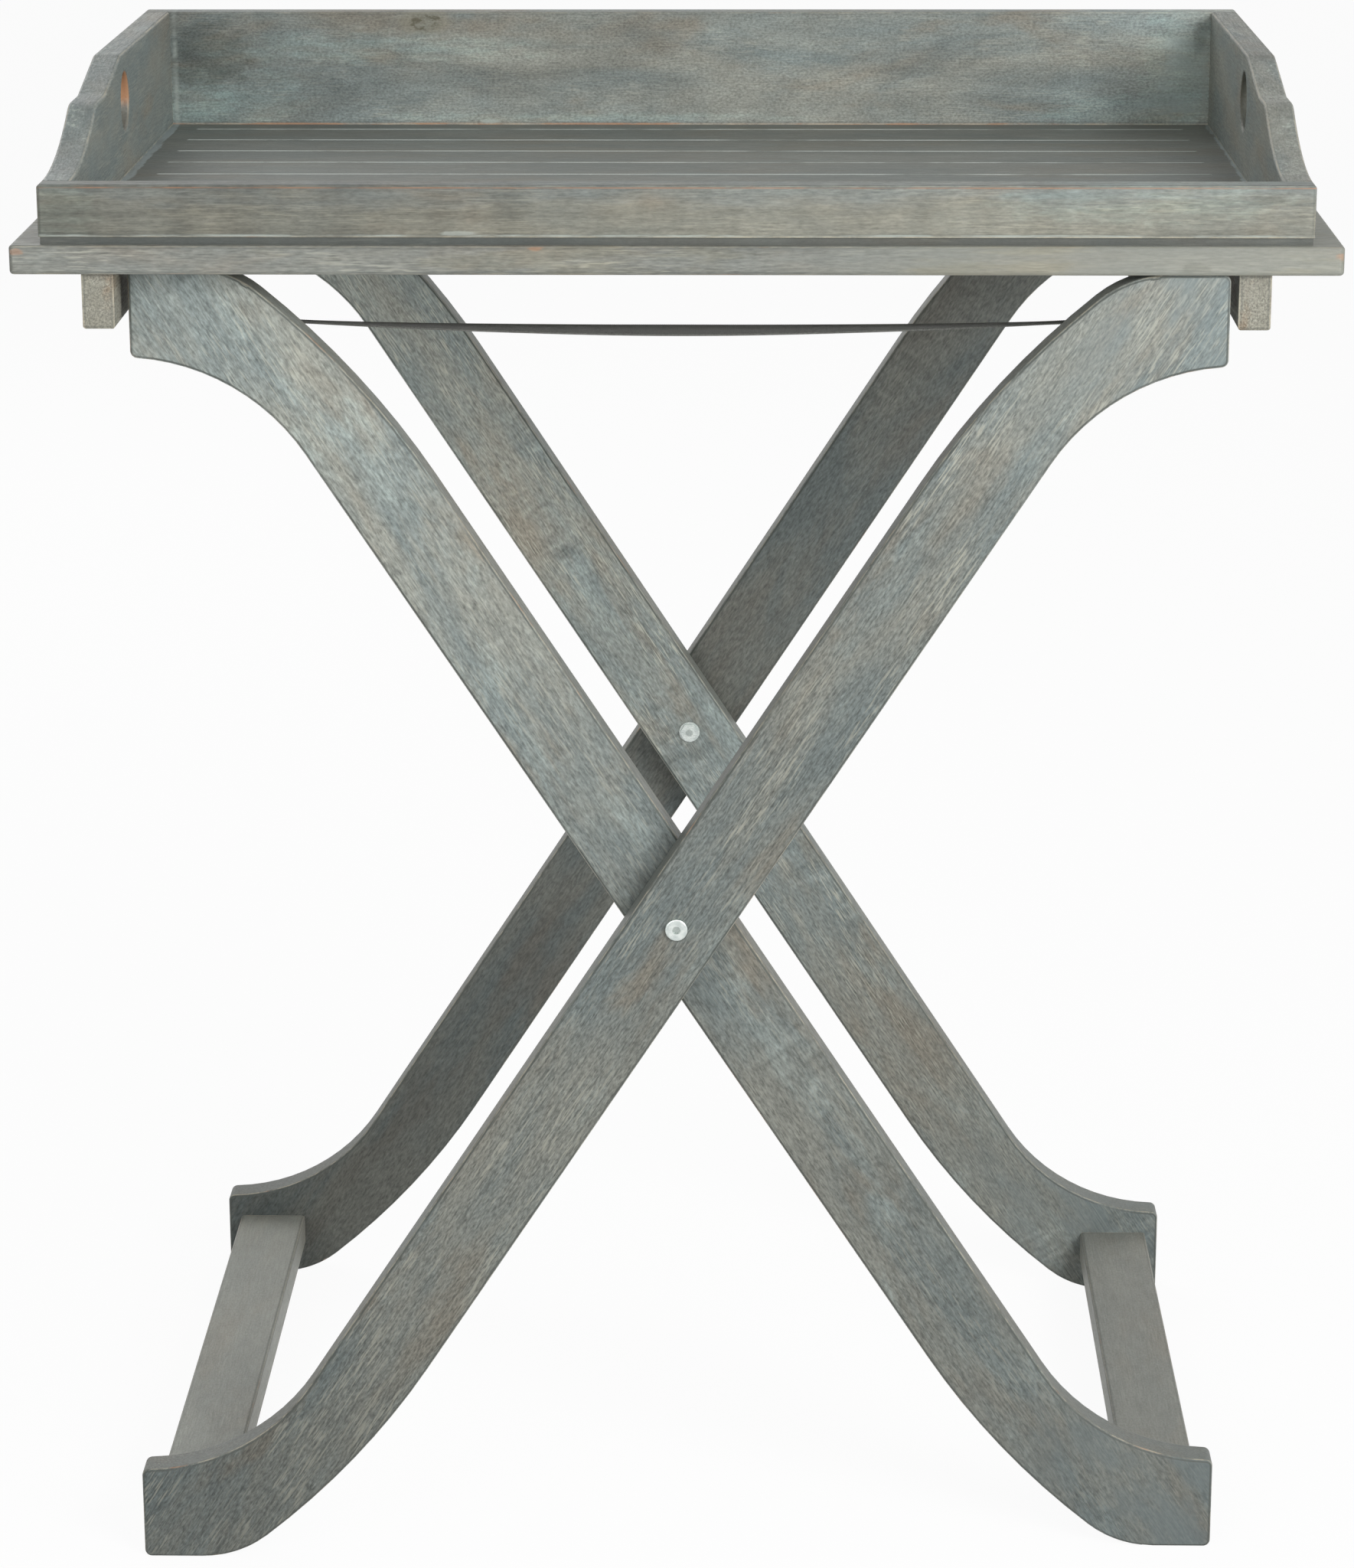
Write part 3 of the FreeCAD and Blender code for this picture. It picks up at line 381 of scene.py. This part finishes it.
# Painted shade in the back wall's inner corners.
BACK_WALL_CORNER_SHADE = (((-0.295, 0.803), (0.024, 0.020)), ((0.312, 0.812), (0.004, 0.010)))
BACK_WALL_CRUSTS = (((0.304, 0.790), (0.014, 0.034)), ((0.290, 0.771), (0.018, 0.007)))
BACK_WALL_CHIP = ((-0.123, 0.0020), (0.006, 0.0012))

PALE_FLECK = tone(176, 184, 174)
RAW_HOLE = tone(182, 132, 94)
SHADED_HOLE = tone(96, 98, 90)
# Painted shade inside the right wall's hand hole.
RIGHT_HOLE_SHADE = tone(72, 74, 66)


def blot(finish, up, mark, ragged):
    """One inside a mark's ellipse, and nothing well outside it, with a ragged rim."""
    middle, reach = mark
    first = (finish.x - middle[0]) / reach[0]
    second = (up - middle[1]) / reach[1]
    torn = finish.noise(finish.place, (0.012, 0.012, 0.006), 100 * middle[0], 5.0, 0.7)
    far = first * first + second * second + (torn - 0.5) * (6 * ragged)
    return finish.step(far, 1.6, 0.3)


def brushed(finish, up, mark):
    """A brushed-out mark: strong in its middle, streaky, and fading away."""
    seed = 80 * mark[0][0]
    drawn = finish.noise(finish.place, (0.030, 0.010, 0.004), seed, 4.0, 0.65)
    return blot(finish, up, mark, 0.8) * finish.step(drawn, 0.34, 0.62, 0.15, 1.0)


def front_wall_marks(finish, colour):
    """Brown and blue layers, upright brush bands, painted light falling off to the left, a painted
    highlight along the foot and a raw line under the top.
    """
    up = finish.z - front_low.z
    broken = finish.noise(finish.place, (0.040, 0.010, 0.004), 141.0, 4.0, 0.7)
    rough = finish.noise(finish.place, (0.060, 0.020, 0.010), 151.0, 4.0, 0.6)
    layers = finish.noise(finish.place, (0.160, 0.020, 0.005), 155.0, 4.0, 0.65)
    bands = finish.noise(finish.place, (0.026, 1.0, 0.4), 153.0, 2.0, 0.5)
    layer = up + (rough - 0.5) * 0.03
    colour = finish.tint(finish.step(layer, 0.026, 0.012), colour, BROWN_STAIN)
    colour = finish.tint(finish.step(layer, 0.016, 0.028), colour, BLUE_STAIN)
    # Painted light: the wall is darker towards its left end and lighter to the right; the bands and
    # layers are its own tone.
    level = finish.step(finish.x, -0.34, 0.28, 0.58, 0.88)
    level = level + (bands - 0.5) * 0.5 + (layers - 0.5) * 0.5
    colour = finish.lighten(colour, level)
    for mark in FRONT_WALL_WASHES:
        colour = finish.tint(brushed(finish, up, mark), colour, WASH_STAIN)
    colour = finish.tint(brushed(finish, up, FRONT_WALL_STAIN) * 0.6, colour, DARK_STAIN_AND_SHADE)
    # Painted highlight: a pale broken line along the wall's rounded foot.
    foot = finish.band(up, 0.4 * MM, 1.5 * MM, 0.5 * MM)
    foot = foot * finish.step(broken, 0.40, 0.62, 0.1, 0.9)
    colour = finish.mix(foot * 0.7, colour, DUST_AND_HIGHLIGHT)
    top = finish.band(front_high.z - finish.z, 1.2 * MM, 1.7 * MM, 0.3 * MM)
    top = top * finish.step(broken, 0.38, 0.52, 0.25, 0.9)
    colour = finish.mix(top * 0.6, colour, RAW_WOOD)
    return finish.mix(blot(finish, up, FRONT_WALL_CHIP, 0.5) * 0.4, colour, DUST_AND_HIGHLIGHT)


def board_marks(finish, colour):
    """Lighter towards the board's ends, with a stain and a few raw spots on its front."""
    layers = finish.noise(finish.place, (0.120, 0.020, 0.005), 159.0, 4.0, 0.65)
    level = finish.step(abs(finish.x), 0.05, 0.28, 0.80, 0.92) + (layers - 0.5) * 0.35
    colour = finish.lighten(colour, level)
    colour = finish.mix(finish.step(finish.x, 0.02, 0.18) * 0.6, colour, BOARD_GREY)
    browned = finish.noise(finish.place, (0.090, 0.050, 0.012), 161.0, 4.0, 0.6)
    colour = finish.tint(finish.step(browned, 0.48, 0.62), colour, BROWN_STAIN)
    colour = finish.tint(brushed(finish, finish.z, BOARD_STAIN) * 0.5, colour, DARK_STAIN_AND_SHADE)
    front = finish.step(finish.facing[1], -0.5, -0.8)
    for middle in BOARD_SPOTS:
        spot = blot(finish, finish.z, (middle, BOARD_SPOT_REACH), 0.9)
        colour = finish.mix(spot * front * 0.35, colour, RAW_WOOD)
    return colour


def knot_rings(finish, colour, middle):
    """A knot: a dark broken ring round a brown heart, in a warm halo."""
    x = (finish.x - middle[0]) / KNOT_REACH[0]
    z = (finish.z - middle[1]) / KNOT_REACH[1]
    bent = finish.noise(finish.place, (0.012, 0.012, 0.007), 163.0, 4.0, 0.65)
    far = x * x + z * z + (bent - 0.5) * 2.4
    broken = finish.noise(finish.place, (0.005, 0.005, 0.003), 165.0, 4.0, 0.7)
    colour = finish.mix(finish.step(far, 3.0, 0.6) * 0.45, colour, KNOT_HALO)
    ring = finish.band(far, 0.05, 0.80, 0.25) * finish.step(broken, 0.42, 0.60, 0.1, 0.8)
    return finish.mix(ring, colour, KNOT_RING)


def back_wall_marks(finish, colour):
    """Dark swirls, a knot near the top, pale wash and painted shade in the corners, painted light
    across the wall, and a raw line at the foot.
    """
    up = finish.z - back_low.z
    swirl = finish.noise(finish.place, (0.130, 0.040, 0.034), 167.0, 4.0, 0.55, 1.4)
    drift = finish.noise(finish.place, (0.040, 0.020, 0.012), 169.0, 5.0, 0.6, 0.8)
    broken = finish.noise(finish.place, (0.050, 0.010, 0.004), 147.0, 4.0, 0.7)
    # Painted light and shade: the wall is lighter along its foot and towards its right end, and
    # darker at its left end; the swirls and drift are its own tone.
    level = finish.step(up, 0.012, 0.0, 1.0, 1.15) + (swirl - 0.5) * 0.8 + (drift - 0.5) * 0.5
    level = level * finish.step(finish.x, -0.31, -0.27, 0.80, 1.0)
    level = level * finish.step(finish.x, 0.14, 0.31, 0.96, 1.44)
    colour = finish.lighten(colour, level)
    for mark in BACK_WALL_WASHES:
        colour = finish.tint(brushed(finish, finish.z, mark), colour, WASH_STAIN)
    # Painted shade: dark patches in the inner corners by the side walls.
    for mark in BACK_WALL_CORNER_SHADE:
        colour = finish.tint(blot(finish, finish.z, mark, 0.6) * 0.8, colour, DARK_STAIN_AND_SHADE)
    for mark in BACK_WALL_CRUSTS:
        colour = finish.mix(brushed(finish, finish.z, mark) * 0.6, colour, CORNER_WASH)
    colour = knot_rings(finish, colour, BACK_WALL_KNOT)
    corner = finish.band(abs(finish.x), 0.3145, 0.3170, 1.2 * MM)
    corner = corner * finish.step(drift, 0.36, 0.60, 0.2, 0.9)
    colour = finish.mix(corner * 0.7, colour, DUST_AND_HIGHLIGHT)
    foot = finish.step(up, 1.3 * MM, 0.8 * MM) * finish.step(broken, 0.44, 0.52, 0.2, 0.9)
    foot = foot * finish.step(finish.x, 0.30, 0.16, 0.1, 0.7)
    colour = finish.mix(foot, colour, RAW_WOOD)
    return finish.mix(blot(finish, up, BACK_WALL_CHIP, 0.6) * 0.7, colour, DUST_AND_HIGHLIGHT)


def hand_hole(finish):
    """One inside the hand hole, and nothing outside its rim."""
    y = finish.y - HAND_HOLE_Y
    z = finish.z - HAND_HOLE_Z
    outside = (HAND_HOLE_RADIUS + 1.5 * MM) ** 2
    inside = (HAND_HOLE_RADIUS + 0.5 * MM) ** 2
    return finish.step(y * y + z * z, outside, inside)


def sawn_top(finish, colour):
    """Pale and dark flecks on the sawn top of a side wall, and a pale line along its rounded edge,
    partly worn and partly painted highlight.
    """
    upright = abs(finish.facing[0])
    sawn = finish.step(upright, 0.5, 0.2)
    fleck = finish.noise(finish.place, (0.0032, 0.0032, 0.0032), 171.0, 3.0, 0.6)
    patch = finish.noise(finish.place, (0.030, 0.030, 0.030), 173.0, 4.0, 0.6)
    colour = finish.lighten(colour, sawn * ((patch - 0.5) * 0.8 - 0.10) + 1.0)
    pale = finish.step(fleck, 0.54, 0.68) * finish.step(patch, 0.44, 0.62, 0.1, 0.6)
    colour = finish.mix(pale * sawn, colour, PALE_FLECK)
    colour = finish.mix(finish.step(fleck, 0.44, 0.34) * sawn * 0.35, colour, DARK_GRAIN)
    # A pale line along the rounded top edge: partly worn wood, partly painted highlight.
    rubbed = finish.band(upright, 0.45, 0.80, 0.08) * finish.step(patch, 0.40, 0.60, 0.1, 0.7)
    return finish.mix(rubbed, colour, WORN_EDGE_AND_HIGHLIGHT)


def left_wall_marks(finish, colour):
    """The sawn top, and raw wood showing inside the upper half of the hand hole."""
    colour = sawn_top(finish, colour)
    hole = hand_hole(finish)
    up = finish.z - HAND_HOLE_Z
    colour = finish.mix(hole * finish.step(up, -0.007, 0.001, 0.1, 0.85), colour, RAW_HOLE)
    return finish.mix(hole * finish.step(up, -0.003, -0.010) * 0.6, colour, SHADED_HOLE)


def right_wall_marks(finish, colour):
    """The sawn top, and painted shade all round inside the hand hole."""
    return finish.mix(hand_hole(finish) * 0.85, sawn_top(finish, colour), RIGHT_HOLE_SHADE)


# The wooden pieces

leg_wood("outer_front_leg", ALONG_OUTER, 3.1, (0.48, 0.74, 0.62, 0.84), 0.4, foot=0.77,
         speckle=1.3, lines=1.1)
leg_wood("inner_front_leg", ALONG_INNER, 11.7, (0.20, 0.72, 0.60, 1.03), 0.6, foot=0.94,
         speckle=1.1, lines=0.6)
leg_wood("outer_back_leg", ALONG_OUTER, 19.3, (0.20, 0.55, 0.41, 0.53), 0.1,
         olive=tone(128, 125, 116), lines=0.3)
leg_wood("inner_back_leg", ALONG_INNER, 27.9, (0.06, 0.60, 0.68, 1.26), 0.45, foot=1.08,
         curls=1.1)

NEUTRAL = {"slate": tone(128, 131, 126), "ash": tone(142, 142, 133), "olive": tone(138, 132, 120)}
CLEAT = {"slate": tone(146, 144, 131), "ash": tone(152, 150, 138), "olive": tone(150, 122, 92)}
RAIL = {"slate": tone(130, 132, 126), "ash": tone(135, 136, 129), "olive": tone(132, 130, 121)}
FLOOR = {"slate": tone(102, 107, 103), "ash": tone(112, 114, 108), "olive": tone(108, 106, 96)}

plain_wood("table_board", "board_wood", ALONG_X, 35.2, 0.1, 0.965, board_marks,
           speckle=0.6, lines=0.7, fibre=5 * MM, **NEUTRAL)
plain_wood("tray_front_wall", "front_wall_wood", ALONG_X, 43.8, 0.1, 0.95, front_wall_marks,
           speckle=0.52, lines=0.45, fibre=4 * MM, **NEUTRAL)
plain_wood("tray_back_wall", "back_wall_wood", ALONG_X, 51.4, 0.2, 1.0, back_wall_marks,
           speckle=0.9, lines=0.4, fibre=1.8 * MM)
plain_wood("tray_left_wall", "left_wall_wood", ALONG_Y, 59.6, 0.2, 0.92, left_wall_marks,
           speckle=0.6, lines=0.4)
plain_wood("tray_right_wall", "right_wall_wood", ALONG_Y, 67.1, 0.2, 0.92, right_wall_marks,
           speckle=0.6, lines=0.4)
# Painted light: both cleats are one wood, and each one's shade makes it lighter or darker as the
# light falls on it.
for cleat, seed, shade in (("left_cleat", 75.5, 0.82), ("right_cleat", 79.5, 0.72)):
    plain_wood(cleat, f"{cleat}_wood", ALONG_Y, seed, 0.1, shade, **CLEAT)
# Painted light: the rails are one wood, and each one's shade makes it lighter or darker as the
# light falls on it.
for rail, seed, shade in (
    ("outer_top_rail", 83.3, 1.1), ("inner_top_rail", 90.3, 1.1),
    ("outer_bottom_rail", 97.3, 1.25), ("inner_bottom_rail", 104.3, 0.99),
):
    plain_wood(rail, f"{rail}_wood", ALONG_Y, seed, 0.05, shade, speckle=0.3, lines=0.15, **RAIL)

# Pale dust and painted highlight along the floor's grooves.
GROOVE_DUST_AND_HIGHLIGHT = tone(222, 230, 224)
SEAM_DUST = tone(152, 162, 162)
LEFT_SEAM = 4.4 * MM
RIGHT_SEAM = 1.8 * MM


def floor_wood():
    """The tray's floor: smooth dark grey, with pale broken lines along its grooves, partly pale
    dust and partly painted highlight.

    Dust lies along the side walls, and the front and back edges are darkened with painted shade.
    """
    finish = Finish("floor_wood", Specular_IOR_Level=0.35)
    grain = finish.turned(ALONG_X)
    colour, height = weathered(finish, grain, 121.3, 0.1, speckle=0.2, lines=0.2, **FLOOR)
    # Each groove's rear edge is pale: partly dust, partly painted highlight where it catches the
    # light.
    off = (finish.y / GROOVE_PITCH + 0.5).past_whole() * GROOVE_PITCH - GROOVE_PITCH / 2
    groove = finish.band(off, 0.1 * GROOVE_WIDTH, 1.4 * GROOVE_WIDTH, 0.2 * MM)
    groove = groove * finish.step(abs(finish.x), GROOVE_REACH + MM, GROOVE_REACH - MM)
    broken = finish.noise(finish.place, (0.110, 0.020, 0.010), 127.0, 5.0, 0.7)
    groove = groove * finish.step(broken, 0.38, 0.52, 0.25, 1.0)
    colour = finish.mix(groove, colour, GROOVE_DUST_AND_HIGHLIGHT)
    dusty = finish.noise(finish.place, (0.006, 0.030, 0.010), 131.0, 4.0, 0.7)
    past_wall = abs(finish.x) + left_high.x
    start = finish.step(finish.x, 0.1, -0.1, -RIGHT_SEAM, -LEFT_SEAM)
    edge_line = finish.step(past_wall - start + (dusty - 0.5) * 0.008, -0.6 * MM, 0.6 * MM)
    edge_line = edge_line * finish.step(dusty, 0.34, 0.56, 0.5, 0.95)
    colour = finish.mix(edge_line * finish.step(finish.facing[2], 0.5, 0.8), colour, SEAM_DUST)
    # Painted shade on the floor's front and back edges, under the walls.
    colour = finish.lighten(colour, finish.step(abs(finish.facing[1]), 0.4, 0.7, 1.0, 0.55))
    roughness = finish.step(height, 0.5, 0.8, 0.50, 0.40)
    return finish.show(colour, roughness, height, 0.12 * MM)


dress(floor_wood(), "tray_floor")


# Hardware

ZINC_SHADE = tone(200, 208, 205)
ZINC_BRIGHT = tone(224, 230, 226)
SOCKET_GREY = tone(120, 130, 126)
DOWEL_DARK = tone(196, 164, 120)
DOWEL_PALE = tone(220, 194, 152)


def zinc_steel(name, metallic):
    """Zinc-plated steel: fine turned marks, a faint cloudy film and a dull socket."""
    finish = Finish(name, Metallic=metallic)
    cloud = finish.noise(finish.place, (0.004, 0.004, 0.004), 5.0, 3.0)
    marks = finish.noise(finish.place, (0.0012, 0.0012, 0.00012), 9.0, 2.0)
    colour = finish.mix(finish.step(cloud, 0.35, 0.65), ZINC_SHADE, ZINC_BRIGHT)
    up = finish.z - PIVOT_HEIGHT
    far = finish.x * finish.x + up * up
    socket = finish.step(far, SOCKET_RIM ** 2, SOCKET_FLOOR ** 2)
    colour = finish.mix(socket * 0.5, colour, SOCKET_GREY)
    return finish.show(colour, finish.step(marks, 0.3, 0.7, 0.24, 0.42), marks, 0.02 * MM)


def dowel_wood():
    """Plain hardwood dowels, fluted by the grain."""
    finish = Finish("dowel_wood", Specular_IOR_Level=WOOD_SHINE)
    grain = finish.turned(ALONG_Y)
    rings = finish.noise(grain, (0.020, 0.0009, 0.0009), 13.0, 2.0)
    colour = finish.mix(finish.step(rings, 0.35, 0.65), DOWEL_DARK, DOWEL_PALE)
    return finish.show(colour, 0.6, rings, FIBRE_DEPTH)


dress(zinc_steel("zinc_steel", 1.0), "front_pivot_bolt", "back_pivot_bolt",
      "front_pivot_washer", "back_pivot_washer", "outer_strap_tacks", "inner_strap_tacks",
      "cleat_screws", "tray_floor_screws")
dress(zinc_steel("dull_zinc", 0.5), "front_pivot_nut", "back_pivot_nut")
dress(dowel_wood(), "outer_rail_dowels", "inner_rail_dowels", "tray_corner_dowels")


# Straps

WARP_PITCH = 0.9 * MM
WEBBING_DARK = tone(88, 89, 86)
WEBBING_PALE = tone(117, 118, 113)
LINT = tone(140, 141, 136)


def strap_webbing():
    """Dark ribbed webbing: warp ends across the ribs, mottled threads and a little lint."""
    finish = Finish("strap_webbing", Specular_IOR_Level=0.2, Sheen_Weight=0.15)
    thread = finish.noise(finish.place, (0.0006, 0.0012, 0.0006), 17.0, 2.0)
    ends = abs((finish.y / WARP_PITCH).past_whole() - 0.5) * 2.0
    lint = finish.noise(finish.place, (0.006, 0.002, 0.002), 21.0, 3.0)
    colour = finish.mix(finish.step(thread, 0.3, 0.7), WEBBING_DARK, WEBBING_PALE)
    colour = finish.mix(finish.step(lint, 0.66, 0.80) * 0.4, colour, LINT)
    return finish.show(colour, 0.85, ends * 0.5 + thread, 0.2 * MM)


def select_where(kind, test):
    """Selects what passes the test: a face by its middle, an edge by its ends, or a vertex."""
    bpy.ops.object.mode_set(mode="EDIT")
    bpy.ops.mesh.select_mode(type=kind)
    bpy.ops.mesh.select_all(action="DESELECT")
    bpy.ops.object.mode_set(mode="OBJECT")
    mesh = bpy.context.active_object.data
    if kind == "FACE":
        for face in mesh.polygons:
            face.select = test(face.center)
    elif kind == "EDGE":
        for edge in mesh.edges:
            first, second = (mesh.vertices[i].co for i in edge.vertices)
            edge.select = test(first, second)
    else:
        for vertex in mesh.vertices:
            vertex.select = test(vertex.co)
    bpy.ops.object.mode_set(mode="EDIT")


def strap_line(side):
    """The line a strap hangs along, from the inner rail to the outer one, with its twist.

    It lies flat under both rails, tips beside them so that its outer edge is up, and is
    flat again in the middle.
    """
    reach = strap_high.x
    span = rail_low.x
    level = strap_high.z - STRAP_THICKNESS / 2 - STRAP_GAP
    right = [(reach, level, 0.0), ((reach + span) / 2, level, 0.0), (span, level, 0.0)]
    for share, twist in STRAP_POINTS:
        sag = STRAP_SAG * (1 - share ** 2)
        right.append((span * share, level - sag, side * STRAP_TWIST * twist))
    left = [(-x, z, tilt) for x, z, tilt in right]
    line = left + [(0.0, level - STRAP_SAG, 0.0)] + right[::-1]
    bpy.ops.curve.primitive_nurbs_path_add(location=(0, 0, 0))
    path = bpy.context.active_object
    path.data.twist_mode = "Z_UP"
    path.data.resolution_u = 12
    spline = path.data.splines[0]
    spline.points.add(len(line) - len(spline.points))
    for point, (x, z, tilt) in zip(spline.points, line):
        point.co = (x, 0, z, 1)
        point.tilt = tilt
    spline.order_u = 3
    spline.use_endpoint_u = True
    return path


def webbing_rib(name, length):
    """One rib of the webbing, thickest in its middle, with rounded edges and open ends."""
    width = strap_high.y - strap_low.y
    middle = length / 2
    bpy.ops.object.select_all(action="DESELECT")
    bpy.ops.mesh.primitive_cube_add(
        size=1, location=(middle, 0, 0), scale=(length, width, STRAP_THICKNESS)
    )
    piece = bpy.context.active_object
    piece.name = name
    bpy.ops.object.transform_apply(location=True, rotation=True, scale=True)
    select_where("EDGE", lambda first, second: abs(first.x - second.x) > middle)
    bpy.ops.mesh.bevel(offset=STRAP_EDGE_ROUND, segments=2, affect="EDGES")
    bpy.ops.mesh.select_all(action="SELECT")
    bpy.ops.mesh.bisect(plane_co=(middle, 0, 0), plane_no=(1, 0, 0))
    select_where("VERT", lambda place: abs(place.x - middle) < length / 4)
    bpy.ops.transform.resize(
        value=(1, STRAP_EDGE_SWELL, STRAP_RIB_SWELL), center_override=(middle, 0, 0)
    )
    select_where("FACE", lambda place: place.x < length / 8 or place.x > length * 7 / 8)
    bpy.ops.mesh.delete(type="ONLY_FACE")
    bpy.ops.object.mode_set(mode="OBJECT")
    return piece


def close_ends():
    """Closes the open ends of the active object's mesh."""
    bpy.ops.object.mode_set(mode="EDIT")
    bpy.ops.mesh.select_mode(type="EDGE")
    bpy.ops.mesh.select_all(action="DESELECT")
    bpy.ops.mesh.select_non_manifold()
    bpy.ops.mesh.edge_face_add()
    bpy.ops.object.mode_set(mode="OBJECT")


def strap(name, y, side, webbing):
    """Ribbed webbing, laid along its line and tacked under both top rails."""
    bpy.ops.object.select_all(action="DESELECT")
    path = strap_line(side)
    length = path.data.splines[0].calc_length()
    ribs = round(length / STRAP_RIB)
    rib = length / ribs
    piece = webbing_rib(name, rib)
    row = piece.modifiers.new("ribs", "ARRAY")
    row.count = ribs
    row.use_relative_offset = False
    row.use_constant_offset = True
    row.constant_offset_displace = (rib, 0, 0)
    row.use_merge_vertices = True
    row.merge_threshold = rib / 20
    bpy.ops.object.modifier_apply(modifier="ribs")
    hang = piece.modifiers.new("hang", "CURVE")
    hang.object = path
    bpy.ops.object.modifier_apply(modifier="hang")
    close_ends()
    bpy.data.objects.remove(path)
    piece.location = (0, y, 0)
    bpy.ops.object.transform_apply(location=True, rotation=True, scale=True)
    bpy.ops.object.shade_smooth()
    piece.data.materials.append(webbing)
    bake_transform(piece)
    return piece


webbing = strap_webbing()
for side, node in ((-1, "front_strap"), (1, "back_strap")):
    low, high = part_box(node)
    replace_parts(strap(f"{node}_webbing", (low.y + high.y) / 2, side, webbing), node)


# Floor, light and camera


def seen_directly(nodes, links):
    """One for the camera's rays and for those that a mirror or a glass passes on."""
    ray = nodes.new("ShaderNodeLightPath")
    total = ray.outputs["Is Camera Ray"]
    for kind in ("Is Glossy Ray", "Is Transmission Ray"):
        most = nodes.new("ShaderNodeMath")
        most.operation = "MAXIMUM"
        links.new(total, most.inputs[0])
        links.new(ray.outputs[kind], most.inputs[1])
        total = most.outputs[0]
    return total


def floor():
    """A plain pale floor. It shows almost white, and keeps a soft shadow."""
    bpy.ops.object.select_all(action="DESELECT")
    bpy.ops.mesh.primitive_plane_add(size=2 * FLOOR_REACH, location=(0, 0, 0))
    piece = bpy.context.active_object
    piece.name = "studio_floor"
    finish = Finish("studio_floor", Base_Color=tone(240, 240, 240), Roughness=0.9)
    nodes, links = finish.tree.nodes, finish.tree.links
    seen = Value(finish, seen_directly(nodes, links)) * FLOOR_WHITENESS
    lit = Value(finish, finish.shader.outputs[0])
    white = finish.node("ShaderNodeEmission", {}, {"Color": (1, 1, 1, 1), "Strength": 1.0})
    both = finish.node("ShaderNodeMixShader", {}, {0: seen, 1: lit, 2: white})
    links.new(both.socket, nodes["Material Output"].inputs["Surface"])
    piece.data.materials.append(finish.material)


def surroundings(level):
    """White where it is seen, and a soft even light on the object."""
    world = bpy.data.worlds.new("studio")
    bpy.context.scene.world = world
    world.use_nodes = True
    nodes, links = world.node_tree.nodes, world.node_tree.links
    background = nodes["Background"]
    background.inputs["Color"].default_value = (1, 1, 1, 1)
    strength = nodes.new("ShaderNodeMapRange")
    strength.inputs["To Min"].default_value = level
    strength.inputs["To Max"].default_value = 1.0
    links.new(seen_directly(nodes, links), strength.inputs["Value"])
    links.new(strength.outputs[0], background.inputs["Strength"])


def softbox(name, place, aim, side, power):
    """A square lamp that faces the aim."""
    lamp = bpy.data.lights.new(name, "AREA")
    lamp.shape = "SQUARE"
    lamp.size = side
    lamp.energy = power
    holder = bpy.data.objects.new(name, lamp)
    bpy.context.scene.collection.objects.link(holder)
    holder.location = place
    direction = Vector(aim) - Vector(place)
    holder.rotation_euler = direction.to_track_quat("-Z", "Y").to_euler()
    holder.visible_camera = False


floor()
surroundings(WORLD_LEVEL)
for lamp in LAMPS:
    softbox(*lamp)

camera = bpy.data.cameras.new("camera")
camera.sensor_width = SENSOR_WIDTH
camera.lens = CAMERA_LENS
view = bpy.data.objects.new("camera", camera)
bpy.context.scene.collection.objects.link(view)
view.matrix_world = (
    Matrix.Translation(CAMERA_PLACE)
    @ Matrix.Rotation(CAMERA_TURN, 4, "Z")
    @ Matrix.Rotation(math.pi / 2 - CAMERA_DIP, 4, "X")
    @ Matrix.Rotation(CAMERA_ROLL, 4, "Z")
)
bpy.context.scene.camera = view
bpy.context.scene.view_settings.view_transform = "Standard"
